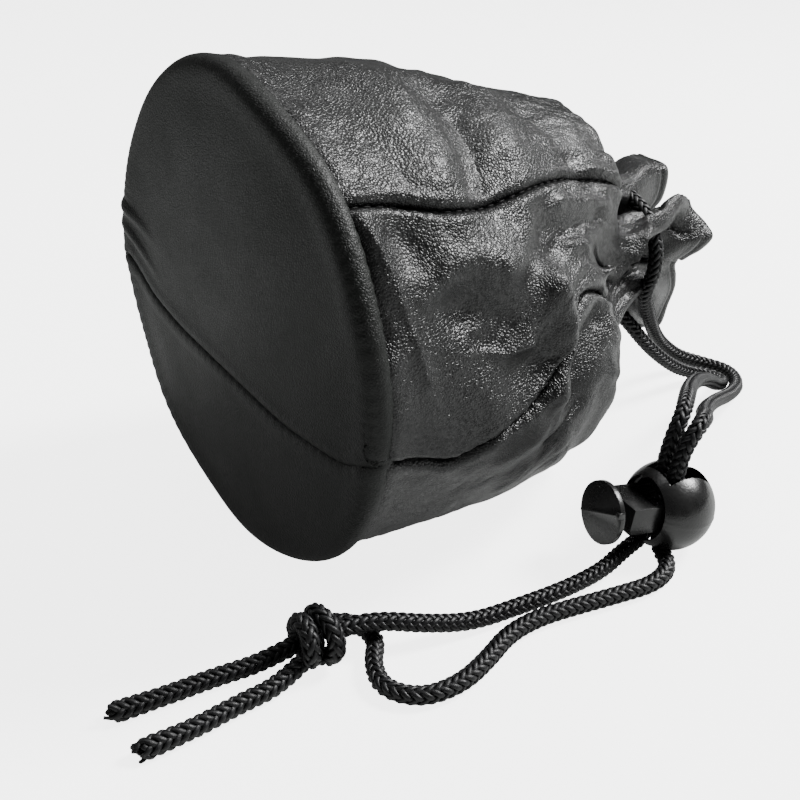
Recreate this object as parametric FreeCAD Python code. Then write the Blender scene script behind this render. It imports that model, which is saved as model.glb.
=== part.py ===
import FreeCAD, Part
import math
import os

# Drawstring dice bag lying on its side.
# +X runs from the round base to the gathered mouth, +Z is up and the floor is at Z = 0.
# The origin is on the floor, under the middle of the leather bag.
# All lengths are in millimetres and all angles in degrees.

V = FreeCAD.Vector

# ---------------------------------------------------------------- driving dimensions

# leather bag
LEATHER = 1.2              # thickness of the leather
BASE_RADIUS = 47.5         # round base
BAG_LENGTH = 117.0         # base to the edge of the frill
BELLY_X, BELLY_WIDTH, BELLY_HEIGHT = 35.0, 87.0, 89.0
WAIST_X, WAIST_WIDTH, WAIST_HEIGHT = 60.0, 74.0, 81.0
SHOULDER_X, SHOULDER_WIDTH, SHOULDER_HEIGHT = 76.0, 58.0, 76.0
SHOULDER_Y = -1.0
PLEAT_LENGTH, PLEAT_WIDTH, PLEAT_HEIGHT = 6.5, 40.0, 60.0      # where the wall is drawn in to the neck
PLEAT_Y, PLEAT_DROP = -3.0, 2.0
THROAT_LENGTH, THROAT_WIDEN, THROAT_DEEPEN = 1.5, 2.0, 7.0     # last of the slope, just before the neck
NECK_X = 92.5              # where the gathered neck starts
NECK_LENGTH = 5.0
NECK_RADIUS = 11.0
NECK_Y, NECK_Z = -4.5, 42.0
FRILL_WIDTH, FRILL_HEIGHT = 30.0, 38.0
FRILL_Y, FRILL_Z = -2.0, 37.0
BASE_SEAM_ANGLE = 12.8     # the seam across the base meets the rim this far below level

# wall seams, as angles from straight up towards -Y
WALL_SEAMS = [
    ("top_wall_panel", 310.0, 410.0),
    ("front_wall_panel", 50.0, 101.0),
    ("lower_front_wall_panel", 101.0, 172.0),
    ("lower_rear_wall_panel", 172.0, 240.0),
    ("upper_rear_wall_panel", 240.0, 310.0),
]

# sewing thread
THREAD_RADIUS = 0.35
STITCH_LENGTH = 2.0
STITCH_PITCH = 3.2
HEM_WIDTH = 2.6
RIM_STITCHES, HEM_STITCHES = 60, 24      # corners of the lines round the base and round the frill
BASE_SEAM_END = 1.0        # the seam across the base stops this far short of the rim

# drawstring
CORD_RADIUS = 1.7
CORD_GAP = 0.15            # the drawn-up loop clears the neck by this much
LOOP_START, LOOP_END = 110.0, 200.0
FLOOR_GAP = 0.1            # lying cord clears the floor by this much
KNOT_RADIUS = 5.0
KNOT_CENTRE = (-11.0, -40.5)

# spring cord lock, in its own frame: t along the plunger, w across it, s along the cord bore
LOCK_RADIUS = 9.0
LOCK_CENTRE = (64.0, -53.0)
LOCK_TURN = 11.0           # plunger axis, turned from -X towards +Y
LOCK_PITCH = 10.0          # and raised from the floor by this much
STRAND_GAP = 0.3           # between the two strands in the bore
STRAND_T = 2.0             # both strands lie this far towards the button
BORE_BACK = -5.5
BORE_FRONT_ROOM = 0.9      # from the strands to the bore's front wall
BORE_SIDE_ROOM = 0.35      # and to its side walls
CAVITY_RADIUS = 5.75
CAVITY_BACK = -5.1
ENTRY_RADIUS = 6.45
ENTRY_DEPTH_T = 4.6
POCKET_RADIUS = 3.0
POCKET_BACK = -7.0
RELIEF_S = -5.3            # flat under the ball's front half, where the strands turn to the floor
BUTTON_TRAVEL = 3.5
BUTTON_RADIUS = 6.2
BUTTON_THICKNESS = 1.2
BUTTON_FACE_T = 16.8
STEM_HALF_HEIGHT = 2.4
STEM_SIDE_CLEARANCE = 0.2  # between the stem's corners and the cavity
STEM_CLEARANCE = 0.12      # between the strands and the stem's window
WINDOW_EXTRA = 0.1         # more room at the two sides of the window
STEM_REAR_PLATE = 1.5
FLARE_LENGTH = 2.4
FLARE_STEP = 0.4           # the flare meets the button this far inside its edge
SPRING_RADIUS = 2.3
SPRING_WIRE_RADIUS = 0.22
SPRING_TURNS = 3.5
SPRING_SEAT_GAP = 0.05

# ---------------------------------------------------------------- helpers

CORD_Z = CORD_RADIUS + FLOOR_GAP
X_SHIFT = -BAG_LENGTH / 2.0
BASE_SEAM_DROP = BASE_RADIUS * math.sin(math.radians(BASE_SEAM_ANGLE))
STRAND_SPACING = 2 * CORD_RADIUS + STRAND_GAP
BORE_FRONT = STRAND_T + CORD_RADIUS + BORE_FRONT_ROOM
BORE_WIDTH = STRAND_SPACING + 2 * CORD_RADIUS + 2 * BORE_SIDE_ROOM
STEM_HALF_WIDTH = math.sqrt((CAVITY_RADIUS - STEM_SIDE_CLEARANCE) ** 2 - STEM_HALF_HEIGHT ** 2)


def place(point):
    """A point given from the base plane, moved to the row's origin."""
    return V(point[0] + X_SHIFT, point[1], point[2])


def export(shape, node):
    os.makedirs("parts", exist_ok=True)
    shape.exportStep("parts/" + node + ".step")
    print(node, "solids", len(shape.Solids), "volume", round(shape.Volume, 1), "valid", shape.isValid())


def tube_along(points, radius, name):
    """A round tube along straight runs joined by tangent arcs."""
    edges = []
    radii = []
    here = points[0]
    for i in range(1, len(points) - 1):
        before = points[i] - points[i - 1]
        after = points[i + 1] - points[i]
        half_turn = before.getAngle(after) / 2.0
        reach = 0.45 * min(before.Length, after.Length)
        before.normalize()
        after.normalize()
        arc_start = points[i] - before * reach
        arc_end = points[i] + after * reach
        bend = reach / math.tan(half_turn)
        towards = after - before
        towards.normalize()
        centre = points[i] + towards * (bend / math.cos(half_turn))
        middle = centre - towards * bend
        edges.append(Part.LineSegment(here, arc_start).toShape())
        edges.append(Part.Arc(arc_start, middle, arc_end).toShape())
        radii.append(round(bend, 1))
        here = arc_end
    edges.append(Part.LineSegment(here, points[-1]).toShape())
    path = Part.Wire(edges)
    heading = points[1] - points[0]
    section = Part.Wire(Part.makeCircle(radius, points[0], heading))
    tube = path.makePipeShell([section], True, False)
    expected = math.pi * radius ** 2 * path.Length
    print(name, "length", round(path.Length, 1), "radii", radii,
          "volume ratio", round(tube.Volume / expected, 4))
    return tube


# ---------------------------------------------------------------- leather bag


def wall_stations():
    """Sections of the wall: x, centre y, centre z, half width, half height."""
    return [
        (LEATHER, 0.0, BASE_RADIUS, BASE_RADIUS, BASE_RADIUS),
        (BELLY_X, 0.0, BELLY_HEIGHT / 2, BELLY_WIDTH / 2, BELLY_HEIGHT / 2),
        (WAIST_X, 0.0, WAIST_HEIGHT / 2, WAIST_WIDTH / 2, WAIST_HEIGHT / 2),
        (SHOULDER_X, SHOULDER_Y, SHOULDER_HEIGHT / 2, SHOULDER_WIDTH / 2, SHOULDER_HEIGHT / 2),
        (NECK_X - PLEAT_LENGTH, PLEAT_Y, NECK_Z - PLEAT_DROP, PLEAT_WIDTH / 2, PLEAT_HEIGHT / 2),
        (NECK_X - THROAT_LENGTH, NECK_Y, NECK_Z, NECK_RADIUS + THROAT_WIDEN, NECK_RADIUS + THROAT_DEEPEN),
        (NECK_X, NECK_Y, NECK_Z, NECK_RADIUS, NECK_RADIUS),
        (NECK_X + NECK_LENGTH, NECK_Y, NECK_Z, NECK_RADIUS, NECK_RADIUS),
        (BAG_LENGTH, FRILL_Y, FRILL_Z, FRILL_WIDTH / 2, FRILL_HEIGHT / 2),
    ]


def wall_point(station, angle):
    x, y, z, half_width, half_height = station
    turn = math.radians(angle)
    return place((x, y - half_width * math.sin(turn), z + half_height * math.cos(turn)))


def inner_stations():
    """The same sections moved in by the leather's thickness, square to the wall."""
    outer = wall_stations()
    last = len(outer) - 1
    inner = []
    for i, (x, y, z, half_width, half_height) in enumerate(outer):
        before = outer[max(i - 1, 0)]
        after = outer[min(i + 1, last)]
        rise = (after[3] + after[4] - before[3] - before[4]) / 2
        slope = math.hypot(after[0] - before[0], rise)
        back = LEATHER * rise / slope
        inwards = LEATHER * (after[0] - before[0]) / slope
        if i in (0, last):
            back = 0.0
            inwards = LEATHER
        inner.append((x + back, y, z, half_width - inwards, half_height - inwards))
    return inner


def section_arc(station, start, end):
    """The part of an elliptical section between two angles."""
    middle = (start + end) / 2
    points = [wall_point(station, start + (end - start) * k / 6.0) for k in range(7)]
    if abs(station[3] - station[4]) < 1e-6:
        return Part.Arc(points[0], wall_point(station, middle), points[-1]).toShape()
    curve = Part.BSplineCurve()
    curve.interpolate(points)
    return curve.toShape()


def wall_panel(start, end):
    wires = []
    for outer, inner in zip(wall_stations(), inner_stations()):
        wires.append(Part.Wire([
            section_arc(outer, start, end),
            Part.LineSegment(wall_point(outer, end), wall_point(inner, end)).toShape(),
            section_arc(inner, end, start),
            Part.LineSegment(wall_point(inner, start), wall_point(outer, start)).toShape(),
        ]))
    return Part.makeLoft(wires, True, True)


def base_panels():
    """The round base, sewn from a large and a small piece along a level seam."""
    disc = Part.makeCylinder(BASE_RADIUS, LEATHER, place((0, 0, BASE_RADIUS)), V(1, 0, 0))
    seam_z = BASE_RADIUS - BASE_SEAM_DROP
    span = 2.2 * BASE_RADIUS
    low_corner = place((-LEATHER, -span / 2, seam_z - span))
    below = Part.makeBox(3 * LEATHER, span, span, low_corner)
    return disc.cut(below), disc.common(below)


# ---------------------------------------------------------------- sewing thread


def stitches_along(points, closed=False):
    """Short lengths of thread laid end to end along a line, with gaps between them."""
    line = list(points)
    if closed:
        line.append(points[0])
    stitches = []
    carry = STITCH_PITCH / 2
    for start, end in zip(line[:-1], line[1:]):
        along = end - start
        length = along.Length
        if length < 1e-6:
            continue
        along.normalize()
        distance = carry
        while distance + STITCH_LENGTH / 2 < length:
            foot = start + along * (distance - STITCH_LENGTH / 2)
            if distance > STITCH_LENGTH / 2:
                stitches.append(Part.makeCylinder(THREAD_RADIUS, STITCH_LENGTH, foot, along))
            distance += STITCH_PITCH
        carry = max(distance - length, STITCH_LENGTH)
    return Part.makeCompound(stitches)


def sunk(station):
    """A section moved in by half a thread, so that stitches on it lie flush."""
    return station[:3] + (station[3] - THREAD_RADIUS, station[4] - THREAD_RADIUS)


def ring_points(station, count):
    return [wall_point(sunk(station), 360.0 * k / count) for k in range(count)]


def hem_station():
    """The section of the frill one hem width in from its edge."""
    last, edge = wall_stations()[-2:]
    share = 1.0 - HEM_WIDTH / (edge[0] - last[0])
    return tuple(a + (b - a) * share for a, b in zip(last, edge))


def seam_line(angle):
    stations = wall_stations()[:-1] + [hem_station()]
    return [wall_point(sunk(station), angle) for station in stations]


def base_seam_line():
    half_chord = math.sqrt(BASE_RADIUS ** 2 - BASE_SEAM_DROP ** 2) - BASE_SEAM_END
    seam_z = BASE_RADIUS - BASE_SEAM_DROP
    return [place((THREAD_RADIUS, y, seam_z)) for y in (half_chord, -half_chord)]


# ---------------------------------------------------------------- cord lock

turn, pitch = math.radians(LOCK_TURN), math.radians(LOCK_PITCH)
LOCK_T = V(-math.cos(pitch) * math.cos(turn), math.cos(pitch) * math.sin(turn), math.sin(pitch))
LOCK_W = V(-math.sin(turn), -math.cos(turn), 0)
LOCK_S = LOCK_T.cross(LOCK_W)
LOCK_ORIGIN = place((LOCK_CENTRE[0], LOCK_CENTRE[1], LOCK_RADIUS))


def in_lock(t, w, s):
    return LOCK_ORIGIN + LOCK_T * t + LOCK_W * w + LOCK_S * s


def lock_box(t0, t1, w0, w1, s0, s1):
    """A box between two corners of the lock's own frame."""
    corners = [in_lock(t0, w0, s0), in_lock(t1, w0, s0), in_lock(t1, w1, s0), in_lock(t0, w1, s0)]
    face = Part.Face(Part.makePolygon(corners + corners[:1]))
    return face.extrude(LOCK_S * (s1 - s0))


def lock_cylinder(radius, t0, t1):
    return Part.makeCylinder(radius, t1 - t0, in_lock(t0, 0, 0), LOCK_T)


def lock_body():
    """A moulded ball with a stepped cavity for the plunger and an oblong bore for the cord."""
    through = LOCK_RADIUS + 1.0
    ball = Part.makeSphere(LOCK_RADIUS, LOCK_ORIGIN)
    cavity = lock_cylinder(CAVITY_RADIUS, CAVITY_BACK, through)
    entry = lock_cylinder(ENTRY_RADIUS, ENTRY_DEPTH_T, through)
    pocket = lock_cylinder(POCKET_RADIUS, POCKET_BACK, 0)
    bore = lock_box(BORE_BACK, BORE_FRONT, -BORE_WIDTH / 2, BORE_WIDTH / 2, -through, through)
    relief = lock_box(0, through, -through, through, -through, RELIEF_S)
    for cut in (cavity, entry, pocket, bore, relief):
        ball = ball.cut(cut)
    return ball


def lock_plunger():
    """Button, flared neck and a windowed stem that pinches the two strands."""
    window_back = STRAND_T - CORD_RADIUS - STEM_CLEARANCE
    window_front = STRAND_T + CORD_RADIUS + STEM_CLEARANCE + BUTTON_TRAVEL
    window_half = STRAND_SPACING / 2 + CORD_RADIUS + STEM_CLEARANCE + WINDOW_EXTRA
    rear = window_back - STEM_REAR_PLATE
    button_back = BUTTON_FACE_T - BUTTON_THICKNESS
    flare_foot = button_back - FLARE_LENGTH
    height = STEM_HALF_HEIGHT
    stem = lock_box(rear, button_back, -STEM_HALF_WIDTH, STEM_HALF_WIDTH, -height, height)
    window = lock_box(window_back, window_front, -window_half, window_half, -2 * height, 2 * height)
    stem = stem.cut(window)
    button = lock_cylinder(BUTTON_RADIUS, button_back, BUTTON_FACE_T)
    flare = Part.makeCone(height, BUTTON_RADIUS - FLARE_STEP, FLARE_LENGTH, in_lock(flare_foot, 0, 0), LOCK_T)
    plunger = stem.fuse(button).fuse(flare)
    return plunger.removeSplitter(), rear


def lock_spring(rear):
    """A short coil spring between the pocket and the plunger's rear plate."""
    start = POCKET_BACK + SPRING_SEAT_GAP + SPRING_WIRE_RADIUS
    end = rear - SPRING_SEAT_GAP - SPRING_WIRE_RADIUS
    helix = Part.makeHelix((end - start) / SPRING_TURNS, end - start, SPRING_RADIUS)
    section = Part.Wire(Part.makeCircle(SPRING_WIRE_RADIUS, V(SPRING_RADIUS, 0, 0), V(0, 1, 0)))
    spring = Part.Wire(helix.Edges).makePipeShell([section], True, True)
    spring.Placement = FreeCAD.Placement(in_lock(start, 0, 0), FreeCAD.Rotation(V(0, 0, 1), LOCK_T))
    return spring


# ---------------------------------------------------------------- drawstring

LOOP_X = NECK_X + NECK_LENGTH / 2
LOOP_RADIUS = NECK_RADIUS + CORD_RADIUS + CORD_GAP


def loop_point(angle):
    angle = math.radians(angle)
    return place((LOOP_X, NECK_Y - LOOP_RADIUS * math.sin(angle), NECK_Z + LOOP_RADIUS * math.cos(angle)))


def loop_heading(angle):
    """The way the loop runs at an angle, as the angle grows."""
    angle = math.radians(angle)
    return V(0, -math.cos(angle), -math.sin(angle))


def drawstring_loop():
    """The stretch that runs round the gathered neck, open where both strands leave."""
    middle = (LOOP_START + LOOP_END) / 2 + 180.0
    start = loop_point(LOOP_END)
    arc = Part.Arc(start, loop_point(middle), loop_point(LOOP_START)).toShape()
    section = Part.Wire(Part.makeCircle(CORD_RADIUS, start, loop_heading(LOOP_END)))
    return Part.Wire([arc]).makePipeShell([section], True, False)


STRAND_TOP_S = 13.5        # both strands run straight through the bore up to here
STRAND_FOOT_S = (CORD_Z - LOCK_RADIUS - STRAND_T * LOCK_T.z) / LOCK_S.z

# The points below are measured from the base plane, in the order in which the strand runs.
STRAND_A_FOLD = [
    (99.2, -12.8, 28.6), (104.8, -9.6, 22.2), (111.2, -6.0, 16.0), (118.0, -3.2, 10.2),
    (125.0, -3.2, 4.8), (132.0, -6.0, CORD_Z), (133.8, -13.0, CORD_Z), (129.5, -19.5, CORD_Z),
    (118.5, -25.0, 4.5), (107.0, -30.0, 9.0), (94.0, -37.0, 14.5), (82.0, -45.0, 20.0),
    (74.0, -51.5, 25.0), (67.5, -55.5, 27.5),
]
STRAND_A_FLOOR = [
    (57.0, -60.8, CORD_Z), (50.5, -62.8, CORD_Z), (42.5, -61.0, CORD_Z), (34.0, -58.8, CORD_Z),
    (26.0, -57.0, CORD_Z), (18.5, -57.2, CORD_Z), (11.5, -60.0, CORD_Z), (4.0, -62.0, CORD_Z),
    (-3.5, -60.8, CORD_Z), (-7.3, -55.0, CORD_Z), (-5.0, -48.9, CORD_Z), (-0.8, -44.6, CORD_Z),
    (-0.8, -39.0, CORD_Z), (-4.6, -35.8, 2.2), (-9.0, -37.6, 3.6),
]
STRAND_B_FOLD = [
    (98.6, -7.6, 23.4), (103.2, -9.8, 17.2), (108.8, -10.2, 12.0), (115.0, -9.9, 7.4),
    (121.5, -9.3, 3.8), (127.5, -10.8, CORD_Z), (127.8, -16.2, CORD_Z), (120.5, -19.8, 4.5),
    (108.5, -25.0, 12.0), (95.5, -32.0, 18.5), (83.5, -39.5, 23.5), (74.0, -46.5, 27.5),
    (67.5, -51.0, 27.5),
]
STRAND_B_FLOOR = [
    (53.5, -51.8, CORD_Z), (45.0, -54.0, CORD_Z), (35.0, -53.8, CORD_Z), (25.0, -52.4, CORD_Z),
    (15.5, -51.0, 2.0), (7.0, -48.6, 4.2), (0.6, -45.4, 5.9), (-4.2, -42.8, 5.9), (-9.0, -41.6, 5.5),
]
TAIL_A = [(-13.6, -38.6, 3.4), (-20.0, -37.6, CORD_Z), (-28.0, -36.0, CORD_Z),
          (-37.5, -35.0, CORD_Z), (-46.4, -33.4, CORD_Z)]
TAIL_B = [(-13.6, -42.4, 3.4), (-20.0, -44.2, CORD_Z), (-28.5, -44.0, CORD_Z),
          (-38.0, -44.6, CORD_Z), (-46.4, -43.7, CORD_Z)]
LEAVE_LENGTH = 4.3         # first run, straight off the loop


def strand(angle, way, fold, side, floor):
    """Route from the loop, through the lock's bore, along the floor to the knot."""
    points = [loop_point(angle), loop_point(angle) + loop_heading(angle) * (way * LEAVE_LENGTH)]
    points += [place(point) for point in fold]
    across = side * STRAND_SPACING / 2
    points += [in_lock(STRAND_T, across, STRAND_TOP_S), in_lock(STRAND_T, across, STRAND_FOOT_S)]
    points += [place(point) for point in floor]
    return points


def knot_solid():
    """The outer shape of an overhand knot tied in both strands."""
    centre = place((KNOT_CENTRE[0], KNOT_CENTRE[1], KNOT_RADIUS))
    return Part.makeSphere(KNOT_RADIUS, centre)


# ---------------------------------------------------------------- build

large, small = base_panels()
export(large, "base_panel_large")
export(small, "base_panel_small")

for name, start, end in WALL_SEAMS:
    export(wall_panel(start, end), name)
    export(stitches_along(seam_line(start)), name.replace("wall_panel", "seam_thread"))

export(stitches_along(base_seam_line()), "base_seam_thread")
export(stitches_along(ring_points(wall_stations()[0], RIM_STITCHES), closed=True), "base_rim_thread")
export(stitches_along(ring_points(hem_station(), HEM_STITCHES), closed=True), "hem_thread")

export(lock_body(), "lock_body")
plunger, plunger_rear = lock_plunger()
export(plunger, "lock_plunger")
export(lock_spring(plunger_rear), "lock_spring")

knot = knot_solid()
export(knot, "cord_knot")
export(drawstring_loop(), "drawstring_loop")
strand_a = strand(LOOP_START, 1, STRAND_A_FOLD, 1, STRAND_A_FLOOR)
strand_b = strand(LOOP_END, -1, STRAND_B_FOLD, -1, STRAND_B_FLOOR)
tail_a = [place(point) for point in TAIL_A]
tail_b = [place(point) for point in TAIL_B]
routes = [("cord_strand_a", strand_a), ("cord_strand_b", strand_b),
          ("cord_tail_a", tail_a), ("cord_tail_b", tail_b)]
for name, route in routes:
    export(tube_along(route, CORD_RADIUS, name).cut(knot), name)
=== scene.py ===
# %% [markdown]
# # A drawstring dice bag in black leather
# The bag lies on its side with its mouth drawn shut. A fixed frame holds the measured model, and
# everything here is built round it, in metres: first the camera and the drawstring, then the
# leather, the sewing, the cord lock, the finishes and the light.

# %% Load the frame
import math

import bmesh
import bpy
import numpy as np
from mathutils import Matrix, Vector


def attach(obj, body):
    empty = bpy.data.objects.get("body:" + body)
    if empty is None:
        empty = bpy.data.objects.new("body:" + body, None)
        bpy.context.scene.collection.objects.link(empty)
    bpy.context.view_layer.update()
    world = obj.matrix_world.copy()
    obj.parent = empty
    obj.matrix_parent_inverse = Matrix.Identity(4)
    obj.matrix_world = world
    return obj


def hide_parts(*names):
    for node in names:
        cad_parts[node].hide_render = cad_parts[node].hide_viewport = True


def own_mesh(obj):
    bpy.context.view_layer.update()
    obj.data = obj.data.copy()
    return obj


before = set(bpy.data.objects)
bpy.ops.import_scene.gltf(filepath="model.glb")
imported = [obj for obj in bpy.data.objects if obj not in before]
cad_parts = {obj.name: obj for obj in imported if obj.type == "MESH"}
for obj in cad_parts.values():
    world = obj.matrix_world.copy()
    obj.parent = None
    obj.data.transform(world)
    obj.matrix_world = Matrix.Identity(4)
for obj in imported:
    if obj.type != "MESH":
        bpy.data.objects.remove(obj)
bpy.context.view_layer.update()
bpy.ops.object.select_all(action="DESELECT")
print("pieces in the frame:", len(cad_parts))

# %% [markdown]
# Lengths below are written in millimetres and turned into metres by one helper. Points are counted
# from the plane of the bag's base, which is half the bag's length from the frame's origin, so the
# same numbers can be read in the design of the bag. The small helpers here are used by every piece.

# %% Units and places
MM = 0.001
BAG_LENGTH = 117.0
BASE_RADIUS = 47.5
BASE_X = -BAG_LENGTH / 2


def place(x, y, z):
    """A point in millimetres from the base plane, as metres in the frame."""
    return Vector((x + BASE_X, y, z)) * MM


def new_mesh_object(name, vertices, faces):
    """A smoothly shaded object from points in metres."""
    mesh = bpy.data.meshes.new(name)
    mesh.from_pydata([tuple(v) for v in vertices], [], [tuple(f) for f in faces])
    mesh.update()
    mesh.polygons.foreach_set("use_smooth", [True] * len(mesh.polygons))
    piece = bpy.data.objects.new(name, mesh)
    bpy.context.scene.collection.objects.link(piece)
    return piece


def only(piece):
    """Makes a piece the one selected and active object."""
    bpy.ops.object.select_all(action="DESELECT")
    bpy.context.view_layer.objects.active = piece
    piece.select_set(True)


def stands_for(piece, body, node):
    """Says which body a piece moves with, which measured piece it replaces."""
    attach(piece, body)
    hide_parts(node)


print("base plane at", BASE_X, "mm")

# %% [markdown]
# ## Camera
# The camera stands in front and to the left, a little above the bag, and looks down at it. It is
# placed by a position and two angles, so that its view is easy to change.

# %% Camera
CAMERA_PLACE = place(-90.4, -171.0, 131.8)
CAMERA_LOOKS_DOWN = 28.0
CAMERA_TURN = -36.8
FOCAL_LENGTH, SENSOR_WIDTH = 50.76, 36.0      # millimetres

camera_data = bpy.data.cameras.new("camera")
camera_data.lens = FOCAL_LENGTH
camera_data.sensor_width = SENSOR_WIDTH
camera_data.clip_start = 0.01
camera = bpy.data.objects.new("camera", camera_data)
bpy.context.scene.collection.objects.link(camera)
camera.location = CAMERA_PLACE
camera.rotation_euler = (math.radians(90.0 - CAMERA_LOOKS_DOWN), 0.0, math.radians(CAMERA_TURN))
bpy.context.scene.camera = camera
print("camera is", round(CAMERA_PLACE.length, 3), "m from the origin")

# %% [markdown]
# ## Drawstring
# One soft braided cord runs round the neck. Both of its ends go through the lock, along the table
# and into one knot. Each free stretch is a smooth curve led by listed control points. A hanging
# cord could be simulated, but it would not come to lie in the same folds. A NURBS curve of order 3
# stays close to its control points and bends like a limp cord. The order is set after the points
# are added, because a curve with two points can't be of order 3.

# %% Routes of the drawstring
CORD_Z = 1.8                      # height of the cord's middle where it lies on the table
NECK_Y, NECK_Z = -4.5, 42.0      # middle of the neck
LOOP_X = 95.0
LOOP_RADIUS = 12.85
LOOP_START, LOOP_END = 110.0, 200.0      # angles at which the two strands leave the loop
LEAVE_LENGTH = 4.3
LOCK_CENTRE = place(64.0, -53.0, 9.0)
lock_turn, lock_pitch = math.radians(11.0), math.radians(10.0)
LOCK_T = Vector((-math.cos(lock_pitch) * math.cos(lock_turn),
                 math.cos(lock_pitch) * math.sin(lock_turn), math.sin(lock_pitch)))
LOCK_W = Vector((-math.sin(lock_turn), -math.cos(lock_turn), 0.0))
LOCK_S = LOCK_T.cross(LOCK_W)
STRAND_T = 2.0
STRAND_SIDE = 1.85
STRAND_TOP_S, STRAND_FOOT_S = 13.5, -7.66
BORE_TOP_S, BORE_FOOT_S = 8.0, -1.8      # the curve is held straight between these two


def in_lock(t, w, s):
    """A point in the lock's own frame: t towards its button, w across, s up the bore."""
    return LOCK_CENTRE + (LOCK_T * t + LOCK_W * w + LOCK_S * s) * MM


def loop_point(angle):
    """A point of the loop round the neck."""
    turn = math.radians(angle)
    return place(LOOP_X, NECK_Y - LOOP_RADIUS * math.sin(turn), NECK_Z + LOOP_RADIUS * math.cos(turn))


def loop_heading(angle):
    """The direction in which the loop runs at an angle."""
    turn = math.radians(angle)
    return Vector((0.0, -math.cos(turn), -math.sin(turn)))


STRAND_A_FOLD = [
    (99.2, -12.8, 28.6), (104.8, -9.6, 22.2), (111.2, -6.0, 16.0), (118.0, -3.2, 10.2),
    (125.0, -3.2, 4.8), (132.0, -6.0, CORD_Z), (133.8, -13.0, CORD_Z), (129.5, -19.5, CORD_Z),
    (118.5, -25.0, 4.5), (107.0, -30.0, 9.0), (94.0, -37.0, 14.5), (82.0, -45.0, 20.0),
    (74.0, -51.5, 25.0), (67.5, -55.5, 27.5),
]
STRAND_A_FLOOR = [
    (57.0, -60.8, CORD_Z), (50.5, -62.8, CORD_Z), (42.5, -61.0, CORD_Z), (34.0, -58.8, CORD_Z),
    (26.0, -57.0, CORD_Z), (18.5, -57.2, CORD_Z), (11.5, -60.0, CORD_Z), (4.0, -62.0, CORD_Z),
    (-3.5, -60.8, CORD_Z), (-7.3, -55.0, CORD_Z), (-5.0, -48.9, CORD_Z), (-0.8, -44.6, CORD_Z),
    (-0.8, -39.0, CORD_Z), (-4.6, -35.8, 2.2), (-9.0, -37.6, 3.6),
]
STRAND_B_FOLD = [
    (98.6, -7.6, 23.4), (103.2, -9.8, 17.2), (108.8, -10.2, 12.0), (115.0, -9.9, 7.4),
    (121.5, -9.3, 3.8), (127.5, -10.8, CORD_Z), (127.8, -16.2, CORD_Z), (120.5, -19.8, 4.5),
    (108.5, -25.0, 12.0), (95.5, -32.0, 18.5), (83.5, -39.5, 23.5), (74.0, -46.5, 27.5),
    (67.5, -51.0, 27.5),
]
STRAND_B_FLOOR = [
    (53.5, -51.8, CORD_Z), (45.0, -54.0, CORD_Z), (35.0, -53.8, CORD_Z), (25.0, -52.4, CORD_Z),
    (15.5, -51.0, 2.0), (7.0, -48.6, 4.2), (0.6, -45.4, 5.9), (-4.2, -42.8, 5.9), (-9.0, -41.6, 5.5),
]
TAIL_A = [(-13.6, -38.6, 3.4), (-20.0, -37.6, CORD_Z), (-28.0, -36.0, CORD_Z),
          (-37.5, -35.0, CORD_Z), (-46.4, -33.4, CORD_Z)]
TAIL_B = [(-13.6, -42.4, 3.4), (-20.0, -44.2, CORD_Z), (-28.5, -44.0, CORD_Z),
          (-38.0, -44.6, CORD_Z), (-46.4, -43.7, CORD_Z)]


def strand_points(angle, way, fold, side, floor):
    """Route from the loop through the lock's bore and along the table to the knot."""
    points = [loop_point(angle), loop_point(angle) + loop_heading(angle) * (way * LEAVE_LENGTH * MM)]
    points += [place(*point) for point in fold]
    points += [in_lock(STRAND_T, side * STRAND_SIDE, s)
               for s in (STRAND_TOP_S, BORE_TOP_S, BORE_FOOT_S, STRAND_FOOT_S)]
    points += [place(*point) for point in floor]
    return points


STRAND_A = strand_points(LOOP_START, 1, STRAND_A_FOLD, 1, STRAND_A_FLOOR)
STRAND_B = strand_points(LOOP_END, -1, STRAND_B_FOLD, -1, STRAND_B_FLOOR)
TAIL_A = [place(*point) for point in TAIL_A]
TAIL_B = [place(*point) for point in TAIL_B]


def curve_line(name, points):
    """The smooth line of a NURBS curve led by its control points, as an array of points."""
    data = bpy.data.curves.new(name, "CURVE")
    data.dimensions = "3D"
    data.resolution_u = 12
    spline = data.splines.new("NURBS")
    spline.points.add(len(points) - 1)
    for spot, point in zip(spline.points, points):
        spot.co = (*point, 1.0)
    spline.order_u = 3
    spline.use_endpoint_u = True
    curve = bpy.data.objects.new(name, data)
    bpy.context.scene.collection.objects.link(curve)
    bpy.context.view_layer.update()
    mesh = bpy.data.meshes.new_from_object(curve)
    line = np.array([vertex.co for vertex in mesh.vertices], float)
    bpy.data.objects.remove(curve)
    bpy.data.meshes.remove(mesh)
    return line


def line_length(line):
    """The length along a line of points."""
    return float(np.linalg.norm(np.diff(line, axis=0), axis=1).sum())


lines = {
    "strand_a": curve_line("route_strand_a", STRAND_A),
    "strand_b": curve_line("route_strand_b", STRAND_B),
    "tail_a": curve_line("route_tail_a", TAIL_A),
    "tail_b": curve_line("route_tail_b", TAIL_B),
}
for name, line in lines.items():
    print(name, "is", round(line_length(line) / MM, 1), "mm long, lowest",
          round(line[:, 2].min() / MM, 2), "mm")

# %% [markdown]
# The cord is a round braid: six yarns wind one way and six the other, and each passes over two
# and under two. That leaves rows of chevrons along the cord and small holes between the yarns. A
# bump texture couldn't give those holes or the knobbly outline, so each yarn is a thin flattened
# tube of its own, swept along a helix round the cord's line and pushed in and out where yarns cross.

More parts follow.
